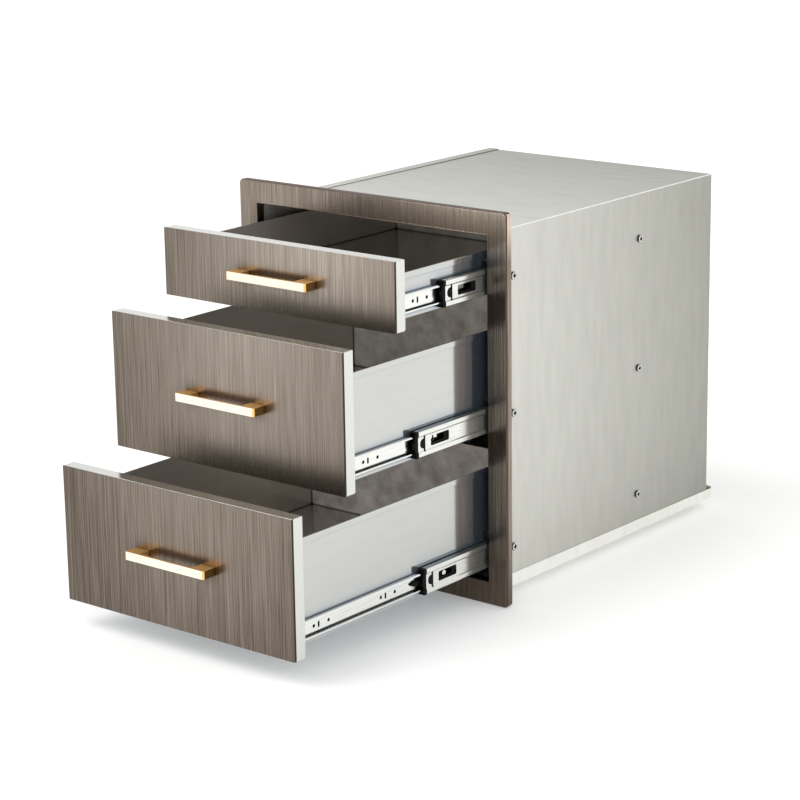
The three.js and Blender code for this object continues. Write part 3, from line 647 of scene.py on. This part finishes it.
def finish_piece(node, solid, materials, body, bevel=0.0, paint=None, segments=2, name=None):
    """A piece that stands for a part of the frame, rides on a body and takes its finish from a slot.

    paint turns arrays of face centres and normals, in millimetres, into the number of each face's material.
    A face looks along an axis where that part of its normal is over FACING.
    """
    name = name or f"{node}_dressed"
    mesh = mesh_of(name, solid)
    for material in materials:
        mesh.materials.append(material)
    count = len(mesh.polygons)
    mesh.polygons.foreach_set("use_smooth", np.ones(count, bool))
    if paint:
        centres, normals = np.zeros(count * 3), np.zeros(count * 3)
        mesh.polygons.foreach_get("center", centres)
        mesh.polygons.foreach_get("normal", normals)
        mesh.polygons.foreach_set("material_index",
                                  paint(centres.reshape(-1, 3) / MM, normals.reshape(-1, 3)).astype(int))
    piece = bpy.data.objects.new(name, mesh)
    scene.collection.objects.link(piece)
    break_edges(piece, bevel, segments)
    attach(piece, body)
    if node:
        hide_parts(node)


def break_edges(piece, bevel, segments=2):
    """Rounds the sharp edges by bevel millimetres and keeps the flat faces flat in the light."""
    if bevel:
        modifier = piece.modifiers.new("broken_edges", "BEVEL")
        modifier.width = bevel * MM
        modifier.segments = segments
        modifier.limit_method = "ANGLE"
        modifier.angle_limit = BEVEL_ANGLE
    weighted = piece.modifiers.new("flat_faces", "WEIGHTED_NORMAL")
    weighted.keep_sharp = True


print("edges over", round(math.degrees(BEVEL_ANGLE)), "degrees are broken")

# %% [markdown]
# ## Face frame
#
# The frame is one sheet. Its outer edges are folded back to a return with a lip, and the edges of the
# opening are folded back to a reveal. All of it is one profile, carried round a rectangle: each profile
# point says how far inside the outline it lies and how deep. The outer corners are rounded to 6 mm. The
# outer edge and the top bend mirror darker things than the face does, so they get painted shade, a darker
# brown.

# %% Face frame
FRAME_SHEET = 1.0
FRAME_BORDER = 31.0
FRAME_LIP = 10.0
FRAME_CORNER = 6.0
FRAME_BEND = 0.5
FRAME_EDGE = 2.6

frame_low, frame_high = box_mm("face_frame")
frame_front = frame_low[1]


def face_frame():
    """The frame's folded profile carried round its outline. The return's lip lies on y = 0. A point is put
    into the outer side, so that the painted shade on the edge ends there."""
    half = FRAME_SHEET / 2
    inner = FRAME_BORDER - half
    profile = folded_sheet([(FRAME_LIP, -half), (half, -half), (half, frame_front + half),
                            (inner, frame_front + half), (inner, frame_high[1])],
                           FRAME_SHEET, FRAME_BEND, 4)
    outside = (profile[:, 0] < TINY) & (np.roll(profile[:, 0], -1) < TINY)
    profile = np.insert(profile, np.argmax(outside) + 1, (0, frame_front + FRAME_EDGE), axis=0)
    rings = rectangle_rings(profile, frame_low, frame_high, FRAME_CORNER)

    # Painted shade: the outer edge near the front and the top bend get a darker brown.
    def paint(centres, normals):
        out = np.minimum(centres[:, 0] - frame_low[0], frame_high[0] - centres[:, 0]) < FRAME_CORNER
        edge = out & (np.abs(normals[:, 0]) > FACING) & (centres[:, 1] < frame_front + FRAME_EDGE)
        top = (centres[:, 2] > frame_high[2] - 2 * FRAME_SHEET) & (normals[:, 2] > FACING)
        return edge | top

    finish_piece("face_frame", ringed(rings, loop=True), [FRAME_HAIRLINE, BEND_SHADE], "cabinet",
                 paint=paint)
    return profile


print("frame profile:", len(face_frame()), "points")

# %% [markdown]
# ## Cabinet
#
# Four sheets make the cabinet: the roof with the right wall, the left wall with a flange that lies on the
# roof, the base pan with its upstands and the back panel. The walls and the roof are folded sections
# carried along Y. The pan's upstands are rounded at their rear corners, which a cutter takes away. The fold
# between the roof and the right wall catches the lamps as a bright line, so that line is a painted highlight
# in the base's bright zinc.

# %% Cabinet
CABINET_SHEET = 0.9
CABINET_BEND = 0.7
CABINET_BEVEL = 0.15
BASE_CORNER = 3.0
UPSTAND_CORNER = 0.2
TRAY_CORNER = 2.0
CUTTER_ROOM = 9
SEAM = 0.05


def cabinet_walls():
    """Roof and right wall as one sheet, and the left wall with its flange."""
    half = CABINET_SHEET / 2
    low, high = box_mm("housing_wrap")
    right, roof = high[0] - half, high[2] - half
    wrap = folded_sheet([(low[0], roof), (right, roof), (right, low[2])], CABINET_SHEET, CABINET_BEND)

    # Painted highlight: the faces of the fold get the base's bright zinc.
    def paint(centres, normals):
        return (normals[:, 0] > FACING) & (normals[:, 2] > FACING)

    finish_piece("housing_wrap", bar(wrap, low[1], high[1]), [GALVANISED, BASE_ZINC_AND_FOLD_HIGHLIGHT], "cabinet",
                 CABINET_BEVEL, paint, name="roof_and_right_wall")
    low, high = box_mm("left_side_panel")
    left, flange = low[0] + half, high[2] - half
    wall = folded_sheet([(left, low[2]), (left, flange), (high[0], flange)], CABINET_SHEET, CABINET_BEND)
    finish_piece("left_side_panel", bar(wall, low[1], high[1]), [GALVANISED], "cabinet",
                 CABINET_BEVEL, name="left_wall")


def base_pan():
    """A U section carried along Y, with a rear upstand and round rear corners."""
    half, room = CABINET_SHEET / 2, CUTTER_ROOM
    low, high = box_mm("base_pan")
    left, right, floor = low[0] + half, high[0] - half, low[2] + half
    section = [(left, high[2]), (left, floor), (right, floor), (right, high[2])]
    pan = folded_sheet(section, CABINET_SHEET, CABINET_BEND)
    rear = rounded(rectangle(left, right, floor, high[2]), UPSTAND_CORNER)
    front = low[1] - room
    whole = rounded(rectangle(front, high[1], low[2] - room, high[2]), [0, 0, BASE_CORNER, 0], 6)
    corner = whole[(whole[:, 1] > low[2]) & (whole[:, 0] > low[1])]
    above = [(high[1] + room, high[2] + room), (front, high[2] + room)]
    cutter = bar(np.concatenate([corner, above, whole[-1:]]), low[0] - room, high[0] + room, "x")
    solids = [cut(bar(pan, low[1], high[1] - SEAM), [cutter]),
              cut(bar(rear, high[1] - CABINET_SHEET, high[1]), [cutter])]
    finish_piece("base_pan", joined(solids), [BASE_ZINC_AND_FOLD_HIGHLIGHT], "cabinet", CABINET_BEVEL)


def back_panel():
    """A shallow tray with its flanges turned to the rear: inner ring, rim and outer ring in one surface."""
    low, high = box_mm("back_panel")
    sheet, bend = CABINET_SHEET, CABINET_BEND
    profile = [(sheet + bend, low[1] + sheet), (sheet, low[1] + sheet + bend), (sheet, high[1]), (0, high[1]),
               (0, low[1] + bend), (bend, low[1])]
    finish_piece("back_panel", ringed(rectangle_rings(profile, low, high, TRAY_CORNER)), [GALVANISED],
                 "cabinet")


cabinet_walls()
base_pan()
back_panel()
print("cabinet sheets:", CABINET_SHEET, "mm")

# %% [markdown]
# ## Drawer fronts
#
# A front is two pieces: a hollow shell of bright steel, and a flat brown skin that covers its open face. The
# shell is made as one surface from the middle of its inside, over its lips, round its edges and to the
# middle of its back. Its lower rear edge is bent round a larger radius than the others, so the rings' lower
# side has an inset of its own, which follows a circle of that radius. The sheared edges at the sides, where
# skin and shell meet, are painted as a dark line of shade.

# %% Drawer fronts
SHELL_SHEET = 1.0
SHELL_LIP = 14.0
SHELL_EDGE = 0.7
SHELL_HEM = 1.9
SHELL_LOWER_EDGE = 3.0
SKIN_EDGE = 0.22
FRONT_CORNER = 0.8
MID_ROUND = 0.29
DRAWERS = ("top", "middle", "bottom")


def edge_inset(depth, back, radius):
    """How far a round edge lies inside the outline at a depth before the back: r - sqrt(r^2 - d^2), where
    d is the way past the start of the round, back - r."""
    past = np.clip(depth - (back - radius), 0, radius)
    return radius - np.sqrt(radius ** 2 - past ** 2)


def front_shell(name):
    """The bright hollow shell behind a drawer's skin."""
    low, high = box_mm(f"{name}_front_shell")
    front, back = low[1], high[1]
    turn_points = np.linspace(0, math.pi / 2, 7)
    round_depths = back - SHELL_LOWER_EDGE * (1 - np.sin(turn_points))
    fine_depths = back - SHELL_EDGE * (1 - np.sin(turn_points[1:-1]))
    depths = np.unique(np.concatenate([round_depths, fine_depths]))
    insets = edge_inset(depths, back, SHELL_EDGE)
    low_insets = edge_inset(depths, back, SHELL_LOWER_EDGE)
    start = [(SHELL_SHEET, back - SHELL_SHEET), (SHELL_SHEET, front + SHELL_SHEET),
             (SHELL_LIP, front + SHELL_SHEET), (SHELL_LIP, front), (SHELL_EDGE, front),
             (SHELL_EDGE * MID_ROUND, front + SHELL_EDGE * MID_ROUND), (0, front + SHELL_EDGE),
             (0, front + SHELL_HEM)]
    profile = np.concatenate([start, np.stack([insets, depths], 1)])
    lower = np.concatenate([[point[0] for point in start], low_insets])
    rings = rectangle_rings(profile, low, high, FRONT_CORNER, lower)

    # Painted shade: the shell's right edge at the front is a dark line.
    def paint(centres, normals):
        return (centres[:, 1] < front + SHELL_HEM) & (normals[:, 0] > FACING)

    finish_piece(f"{name}_front_shell", ringed(rings), [SHELL_STEEL, EDGE_SHADE], f"{name}_drawer",
                 paint=paint)


def front_skin(name):
    """The brown hairline sheet on a drawer's front, with softly broken edges. The middle of a quarter
    round lies MID_ROUND of its radius inside both sides, which is 1 - sqrt(1 / 2)."""
    low, high = box_mm(f"{name}_front_skin")
    edge = SKIN_EDGE
    profile = [(edge, low[1]), (edge * MID_ROUND, low[1] + edge * MID_ROUND), (0, low[1] + edge),
               (0, high[1] - edge), (edge, high[1])]
    rings = rectangle_rings(profile, low, high, FRONT_CORNER)

    # Painted shade: the skin's side edges are a dark line.
    def paint(centres, normals):
        return np.abs(normals[:, 0]) > FACING

    finish_piece(f"{name}_front_skin", ringed(rings), [FRONT_HAIRLINE, EDGE_SHADE], f"{name}_drawer",
                 paint=paint)


for drawer in DRAWERS:
    front_shell(drawer)
    front_skin(drawer)
print("fronts:", ", ".join(DRAWERS))

# %% [markdown]
# ## Handles
#
# Each handle is milled from flat bar: a thin grip and two square posts in one piece, with its front corners
# rounded. Seen from above it is one closed outline, carried up by the handle's height. Two screws come from
# inside the drawer. A screw's head is a low dome with a cross recess, which is a surface of two parameters,
# the radius and the angle: the dome's height less the depth of the cross.

# %% Handles
HANDLE_BAR = 3.9
HANDLE_POST = 22.5
HANDLE_CORNER = 3.0
HANDLE_INNER_CORNER = 1.6
HANDLE_SEAT = 0.3
SCREW_HEAD = 2.8
SCREW_SHANK = 1.5
SCREW_HEIGHT = 2.4
SCREW_GRIP = 5
INTO_HEAD = 0.5
FLAT, PAINT_DEPTH = 0.99, 0.5
DOME_FALL = 0.55
CROSS_HALF, CROSS_END, CROSS_DEPTH = 0.23, 0.66, 0.62
CROSS_WALL, CROSS_END_WALL = 0.05, 0.08


def dome(share, height):
    """The height of a pan head at a share s of its radius: height * sqrt(1 - DOME_FALL s^2)."""
    return height * np.sqrt(1 - DOME_FALL * share ** 2)


def screw_head(radius, height, sides=48, rows=14):
    """A pan head as rings round the X axis, its seat at x = 0.

    At share s of the radius and angle a, it is the dome less a cross. The cross takes CROSS_DEPTH of the
    height where |s cos a| or |s sin a| is under CROSS_HALF and s is under CROSS_END, with sloping walls.
    """
    share = np.concatenate([[0.02], np.linspace(0.1, 1, rows)])[:, None]
    angle = np.arange(sides)[None, :] * 2 * math.pi / sides
    narrow = np.minimum(np.abs(share * np.cos(angle)), np.abs(share * np.sin(angle)))
    across_arm = np.clip((CROSS_HALF - narrow) / CROSS_WALL, 0, 1)
    along_arm = np.clip((CROSS_END - share) / CROSS_END_WALL, 0, 1)
    top = dome(share, height) - across_arm * along_arm * height * CROSS_DEPTH
    rings = np.stack([top, radius * share * np.cos(angle), radius * share * np.sin(angle)], -1)
    rim = rings[-1:].copy()
    rim[..., 0] = 0
    return np.concatenate([rings, rim])


def handle(name):
    """The gold handle, and its two steel screws."""
    low, high = box_mm(f"{name}_handle")
    back = box_mm(f"{name}_front_skin")[0][1] - HANDLE_SEAT
    front = low[1]
    half, grip = high[0], high[0] - HANDLE_POST
    outline = rounded([(half, back), (grip, back), (grip, front + HANDLE_BAR), (-grip, front + HANDLE_BAR),
                       (-grip, back), (-half, back), (-half, front), (half, front)],
                      [0, 0, HANDLE_INNER_CORNER, HANDLE_INNER_CORNER, 0, 0, HANDLE_CORNER,
                       HANDLE_CORNER], 8)

    # Painted highlight: a pale glare on the grip's front face, and painted shade on the two ends.
    def paint(centres, normals):
        face = (normals[:, 1] < -FLAT) & (centres[:, 1] < front + PAINT_DEPTH)
        end = (np.abs(normals[:, 0]) > FLAT) & (np.abs(centres[:, 0]) > half - PAINT_DEPTH)
        return np.where(face, 1, np.where(end, 2, 0))

    finish_piece(f"{name}_handle", bar(outline, low[2], high[2], "z"), [GOLD, GOLD_GLARE, GOLD_END_SHADE],
                 f"{name}_drawer", bevel=0.35, paint=paint, segments=3)
    middle = (low[2] + high[2]) / 2
    seat = high[1] - SCREW_HEIGHT
    head = screw_head(SCREW_HEAD, SCREW_HEIGHT)[..., [1, 0, 2]]
    screws = []
    for side in (-1, 1):
        x = side * (half - HANDLE_POST / 2)
        screws += [ringed(head + np.array([x, seat, middle])),
                   rod(SCREW_SHANK, back - SCREW_GRIP, seat + INTO_HEAD, "y", (x, 0, middle))]
    finish_piece(None, joined(screws), [SCREW_ZINC], f"{name}_drawer",
                 name=f"{name}_handle_screws")


for drawer in DRAWERS:
    handle(drawer)
print("handles:", HANDLE_BAR, "mm grip on", HANDLE_POST, "mm posts")

# %% [markdown]
# ## Drawer boxes
#
# The floor and the side walls are one sheet. Each side wall's upper edge is folded down outside into a flat
# hem, which stiffens it and leaves no cutting edge. The front and back walls are plates between them. The
# faces that lie within the inner space get painted reflection and shade, and the back wall gets painted
# light of its own.

# %% Drawer boxes
BOX_SHEET = 0.9
BOX_HEM = 7.5
FLAT_BEND = 0.02
INSIDE_EDGE = 0.1


def drawer_box(name):
    """A drawer's box, with painted reflection and shade on its inside and painted light on the inside of its
    back wall.
    """
    low, high = box_mm(f"{name}_drawer_box")
    half = BOX_SHEET / 2
    wall = high[0] - BOX_SHEET - half
    hem = high[0] - half + SEAM
    section = np.array([(hem, high[2] - BOX_HEM), (hem, high[2] - half), (wall, high[2] - half),
                        (wall, low[2] + half)])
    line = np.concatenate([section, section[::-1] * [-1, 1]])
    inner, floor = wall - half, low[2] + BOX_SHEET
    plate = rectangle(-inner, inner, floor, high[2])
    solids = [bar(folded_sheet(line, BOX_SHEET, FLAT_BEND, 6), low[1], high[1]),
              bar(plate, low[1], low[1] + BOX_SHEET), bar(plate, high[1] - BOX_SHEET, high[1])]

    # Painted reflection and shade on the inside faces, and painted light on the inside of the back wall.
    def paint(centres, normals):
        x, y, z = np.abs(centres[:, 0]), centres[:, 1], centres[:, 2]
        within = (x < inner + 2 * INSIDE_EDGE) & (z > floor - 2 * INSIDE_EDGE) & (z < high[2] - FLAT_BEND)
        within &= (y > low[1] + INSIDE_EDGE) & (y < high[1] - INSIDE_EDGE)
        return np.where(within & (y > high[1] - BOX_SHEET - INSIDE_EDGE), 2, within)

    rear_wall_light = BACK_WALL_PAINTED_LIGHT if name == DRAWERS[0] else BACK_WALL_PAINTED_GLOW
    finish_piece(f"{name}_drawer_box", joined(solids), [BOX_STEEL, INSIDE_PAINTED_REFLECTION, rear_wall_light],
                 f"{name}_drawer", bevel=0.12, paint=paint)


for drawer in DRAWERS:
    drawer_box(drawer)
print("drawer boxes:", BOX_SHEET, "mm sheet")

# %% [markdown]
# ## Slides: sections and places
#
# A full-extension slide is three rolled channels that run in each other on balls. Each channel is a folded
# strip, so its section is a centre line with round bends, the same above and below the middle. A section is
# given by u, the way out from the drawer's side, and v, the height over the slide's middle. One function puts
# it in its place on the right or the left, and others give the round and long cutters. SLIDES lists the six
# slides, and each function in the next cells makes one part of one slide.

# %% Slides: sections and places
SLIDE_SHEET = 1.2
SLIDE_BEND = 0.25
CAGE_SHEET = 0.5
CAGE_BEND = 0.1
SLIDES = [(drawer, name, side) for drawer in DRAWERS for name, side in (("right", 1), ("left", -1))]
OUTER_RACE, OUTER_BALL = (6.6, 19.15), 2.2
INNER_RACE, INNER_BALL = (3.6, 14.15), 1.4
OUTER_RACE_RADIUS = 3.1

slide_inner = box_mm("top_right_drawer_rail")[0][0]
race_turn = np.radians([90, 105, 120, 135, 150])
CABINET_LINE = [(12.1, 22.25), *zip(OUTER_RACE[0] + OUTER_RACE_RADIUS * np.cos(race_turn),
                                    OUTER_RACE[1] + OUTER_RACE_RADIUS * np.sin(race_turn))]
MIDDLE_LINE = [(8.3, 9.5), (9.6, 11), (9.6, 16.45), (8.1, 16.45), (7.5, 16.05), (5.7, 16.05), (5.1, 16.45),
               (2.2, 16.45)]
DRAWER_LINE = [(0.6, 11.85), (5.8, 11.85), (5.8, 9.65)]
OUTER_CAGE_LINE = [(10.85, 19.15), (5.5, 19.15)]
INNER_CAGE_LINE = [(7.05, 12.65), (6.25, 14.15), (2.9, 14.15)]


def across(side, u):
    """The x of a distance u out from the drawer's side."""
    return side * (slide_inner + np.asarray(u, float))


def channel(upper, sheet, side, height, start, end):
    """A rolled channel: the upper half of its centre line, mirrored below, given its sheet's thickness and
    carried along Y."""
    upper = np.array(upper, float)
    line = np.concatenate([upper[::-1] * [1, -1], upper])
    outline = folded_sheet(line, sheet, SLIDE_BEND if sheet == SLIDE_SHEET else CAGE_BEND, 4)
    return bar(np.stack([across(side, outline[:, 0]), height + outline[:, 1]], 1), start, end)


def slab(outline, side, u_from, u_to):
    """An outline of (y, z) carried out from u_from to u_to."""
    return bar(outline, *across(side, [u_from, u_to]), "x")


def upright_slot(width, half_height, corner, y, height):
    """The outline of a rectangle with round corners, about (y, height)."""
    return rounded(rectangle(y - width / 2, y + width / 2, height - half_height, height + half_height),
                   corner, 6)


def disc(radius, side, u_from, u_to, y, height):
    """A round disc across the slide."""
    return rod(radius, *across(side, [u_from, u_to]), "x", (0, y, height), 32)


def slide_part(drawer, name, part):
    """A slide part's name, front end, rear end and middle height."""
    node = f"{drawer}_{name}_{part}"
    low, high = box_mm(node)
    return node, low[1], high[1], (low[2] + high[2]) / 2


print("slides stand on x =", round(slide_inner, 1), "mm")

# %% [markdown]
# ## Cabinet rails and their screws
#
# The widest channel is screwed to the cabinet's wall. Its lips curl round the balls' path. The two screws
# come from outside, so their pan heads show on the cabinet's side. Their cross recess is deep, and its
# faces, found as those that lie under the head's dome, are painted black as shade. The rim turns down and
# away from the light, so it is painted as a dark ring of shade.

# %% Cabinet rails and their screws
SCREW_PLACES = (31.8, 323.5)
WALL_SCREW_HEAD = 5.1
WALL_SCREW_HEIGHT = 2.8
WALL_SCREW_SHANK = 2.0
WALL_SHANK_START, INTO_WALL_HEAD = 12.2, 0.4
RECESS_DEPTH = 0.35
RECESS_END = 0.7
RIM_START = 0.93
HEAD_EDGE = 0.1
SEAT_GAP = 0.3
screw_seat = box_mm("housing_wrap")[1][0] + SEAT_GAP


def cabinet_rail(drawer, name, side):
    """The channel on the cabinet's wall, with its two screws."""
    node, start, end, height = slide_part(drawer, name, "cabinet_rail")
    solids = [channel(CABINET_LINE, SLIDE_SHEET, side, height, start, end)]
    head = screw_head(WALL_SCREW_HEAD, WALL_SCREW_HEIGHT, 64, 18)
    shank = side * np.array([slide_inner + WALL_SHANK_START, screw_seat + INTO_WALL_HEAD])
    for place in start + np.array(SCREW_PLACES):
        solids += [ringed((head + np.array([screw_seat, place, height])) * np.array([side, 1, 1])),
                   rod(WALL_SCREW_SHANK, *shank, "x", (0, place, height))]

    # Painted shade: the cross recess is black and the rim a dark ring.
    def paint(centres, normals):
        out = np.abs(centres[:, 0]) - screw_seat
        nearest = np.min([np.hypot(centres[:, 1] - start - place, centres[:, 2] - height)
                          for place in SCREW_PLACES], axis=0) / WALL_SCREW_HEAD
        surface = dome(np.clip(nearest, 0, 1), WALL_SCREW_HEIGHT)
        recess = (out > 0) & (nearest < RECESS_END) & (out < surface - RECESS_DEPTH)
        rim = (out > -HEAD_EDGE) & (nearest > RIM_START)
        return np.where(recess, 2, np.where(rim, 3, np.where(out > -HEAD_EDGE, 1, 0)))

    finish_piece(node, joined(solids), [ZINC, SCREW_ZINC, PLASTIC_AND_PAINTED_SHADE, SCREW_RIM_SHADE], "cabinet",
                 paint=paint)


for slide in SLIDES:
    cabinet_rail(*slide)
print("wall screws:", 2 * WALL_SCREW_HEAD, "mm heads")

# %% [markdown]
# ## Middle rails
#
# The middle rail has a web that stands back from two bands, and flanges that are pressed down a little where
# the outer balls run. Near its front end a keyhole notch holds the clip of the guide, and a long window
# follows. Both are cut through the web.

# %% Middle rails
NOTCH_START, NOTCH_WIDTH, NOTCH_HALF = 10.8, 3.6, 11.0
NOTCH_EYE, EYE_SHIFT = 6.5, 0.6
RAIL_CORNER = 1.5
WEB_CUT = (7.1, 10.8)
WINDOW_START, WINDOW_LENGTH, WINDOW_HALF, WINDOW_CORNER = 25.4, 37.2, 6.5, 2.0


def middle_rail(drawer, name, side):
    """The channel between the two others, with its notch and window."""
    node, start, end, height = slide_part(drawer, name, "middle_rail")
    middle = start + NOTCH_START + NOTCH_WIDTH / 2
    bar_cut = upright_slot(NOTCH_WIDTH, NOTCH_HALF, RAIL_CORNER, middle, height)
    turn = np.linspace(math.pi / 2, 3 * math.pi / 2, 25)
    eye = np.stack([start + NOTCH_START - EYE_SHIFT + NOTCH_EYE * np.cos(turn),
                    height + NOTCH_EYE * np.sin(turn)], 1)
    eye = np.concatenate([[(middle, height + NOTCH_EYE)], eye, [(middle, height - NOTCH_EYE)]])
    window = upright_slot(WINDOW_LENGTH, WINDOW_HALF, WINDOW_CORNER,
                          start + WINDOW_START + WINDOW_LENGTH / 2, height)
    rail = channel(MIDDLE_LINE, SLIDE_SHEET, side, height, start, end)
    for outline in (bar_cut, eye, window):
        rail = cut(rail, [slab(outline, side, *WEB_CUT)])
    finish_piece(node, rail, [RAIL_ZINC], f"{drawer}_middle_rails", bevel=0.12)


for slide in SLIDES:
    middle_rail(*slide)
print("windows:", WINDOW_LENGTH, "x", 2 * WINDOW_HALF, "mm")

# %% [markdown]
# ## Drawer rails
#
# The inner channel is fixed to the drawer's side. Its web has two groups of holes, a round one, an upright
# slot and a round one, for fixing screws. A thin black sheet of painted shade lies behind the web, and the
# holes look solid black because they show it. The release lever's pin is riveted into the web.

# %% Drawer rails
HOLE_GROUPS = (24.5, 152.5)
HOLE_RADIUS = 2.3
SLOT_STEP, SLOT_WIDTH, SLOT_HALF = 9, 3.2, 4.0
LAST_HOLE_STEP = 27.5
LEVER_PIVOT = 275
PIN_RADIUS, PIN_HEAD_RADIUS, PIN_TOP, PIN_HEAD = 2.0, 3.6, 4.8, 0.6
SHADE_SHEET_HALF, SHADE_SHEET_END = 9.0, 2
SHADE_SHEET_FACES = (-0.24, -0.04)
HOLE_CUT = (-0.5, 2.0)


def drawer_rail(drawer, name, side):
    """The channel on the drawer's side, its holes, a black sheet of painted shade behind them and the lever's
    pin.
    """
    node, start, end, height = slide_part(drawer, name, "drawer_rail")
    cutters = []
    for place in HOLE_GROUPS:
        slot = upright_slot(SLOT_WIDTH, SLOT_HALF, RAIL_CORNER, start + place + SLOT_STEP, height)
        cutters += [disc(HOLE_RADIUS, side, *HOLE_CUT, start + place, height), slab(slot, side, *HOLE_CUT),
                    disc(HOLE_RADIUS, side, *HOLE_CUT, start + place + LAST_HOLE_STEP, height)]
    rail = cut(channel(DRAWER_LINE, SLIDE_SHEET, side, height, start, end), cutters)
    # Painted shade: a thin black sheet behind the web, seen through the holes.
    strip = slab(rectangle(start + SHADE_SHEET_END, end - SHADE_SHEET_END, height - SHADE_SHEET_HALF, height + SHADE_SHEET_HALF),
                 side, *SHADE_SHEET_FACES)
    pivot = start + LEVER_PIVOT
    pin = [disc(PIN_RADIUS, side, SLIDE_SHEET / 2, PIN_TOP + PIN_HEAD / 2, pivot, height),
           disc(PIN_HEAD_RADIUS, side, PIN_TOP, PIN_TOP + PIN_HEAD, pivot, height)]

    def paint(centres, normals):
        return np.abs(centres[:, 0]) < slide_inner + SHADE_SHEET_FACES[1] / 2

    finish_piece(node, joined([rail, strip, *pin]), [ZINC, PLASTIC_AND_PAINTED_SHADE], f"{drawer}_drawer",
                 bevel=0.1, paint=paint)


for slide in SLIDES:
    drawer_rail(*slide)
print("holes:", 2 * HOLE_RADIUS, "mm, in groups", HOLE_GROUPS[1] - HOLE_GROUPS[0], "mm apart")

# %% [markdown]
# ## Ball cages
#
# Each stage rolls on two rows of balls, which a thin folded strip keeps apart. A ball is a circle's half
# profile turned round an axis, with few faces, because there are over two hundred of them.

# %% Ball cages
OUTER_BALLS, INNER_BALLS = 12, 6
POLE = 0.02


def ball(radius, centre):
    """A small ball: radius r sin t at place -r cos t, for t from 0 to 180 degrees. The poles are kept
    open by POLE, so that their rings stay rings."""
    turn = np.linspace(0, math.pi, 7)
    turn[[0, -1]] += [POLE, -POLE]
    profile = np.stack([radius * np.sin(turn), -radius * np.cos(turn)], 1)
    return ringed(turned_rings(profile, "y", centre, 10))


def ball_cage(drawer, name, side, stage, line, race, radius, count):
    """A folded strip and its two rows of balls."""
    node, start, end, height = slide_part(drawer, name, f"{stage}_ball_cage")
    places = start + (np.arange(count) + 0.5) * (end - start) / count
    balls = [ball(radius, (across(side, race[0]), place, height + rise))
             for place in places for rise in (race[1], -race[1])]
    strip = channel(line, CAGE_SHEET, side, height, start, end)

    def paint(centres, normals):
        rows = np.abs(np.abs(centres[:, 2] - height) - race[1])
        beside = np.abs(np.abs(centres[:, 0]) - abs(across(side, race[0])))
        return (beside < radius) & (rows > 0.6 * CAGE_SHEET)

    finish_piece(node, joined([strip, *balls]), [CAGE_STEEL, BALL_STEEL], f"{drawer}_{stage}_cages",
                 paint=paint)


for slide in SLIDES:
    ball_cage(*slide, "outer", OUTER_CAGE_LINE, OUTER_RACE, OUTER_BALL, OUTER_BALLS)
    ball_cage(*slide, "inner", INNER_CAGE_LINE, INNER_RACE, INNER_BALL, INNER_BALLS)
print("balls per slide:", 2 * (OUTER_BALLS + INNER_BALLS))

# %% [markdown]
# ## Guides and levers
#
# The front guides and the release levers are moulded in black acetal. The frame's own shapes are right, so
# they stay. They get the plastic's finish, their loose triangles are welded, and their edges are rounded.

# %% Guides and levers
for drawer, name, side in SLIDES:
    for part in ("front_guide", "release_lever"):
        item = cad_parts[f"{drawer}_{name}_{part}"]
        item.data.materials.clear()
        item.data.materials.append(PLASTIC_AND_PAINTED_SHADE)
        weld = item.modifiers.new("weld", "WELD")
        weld.merge_threshold = WELD
        break_edges(item, 0.15)
print("moulded parts:", 2 * len(SLIDES))
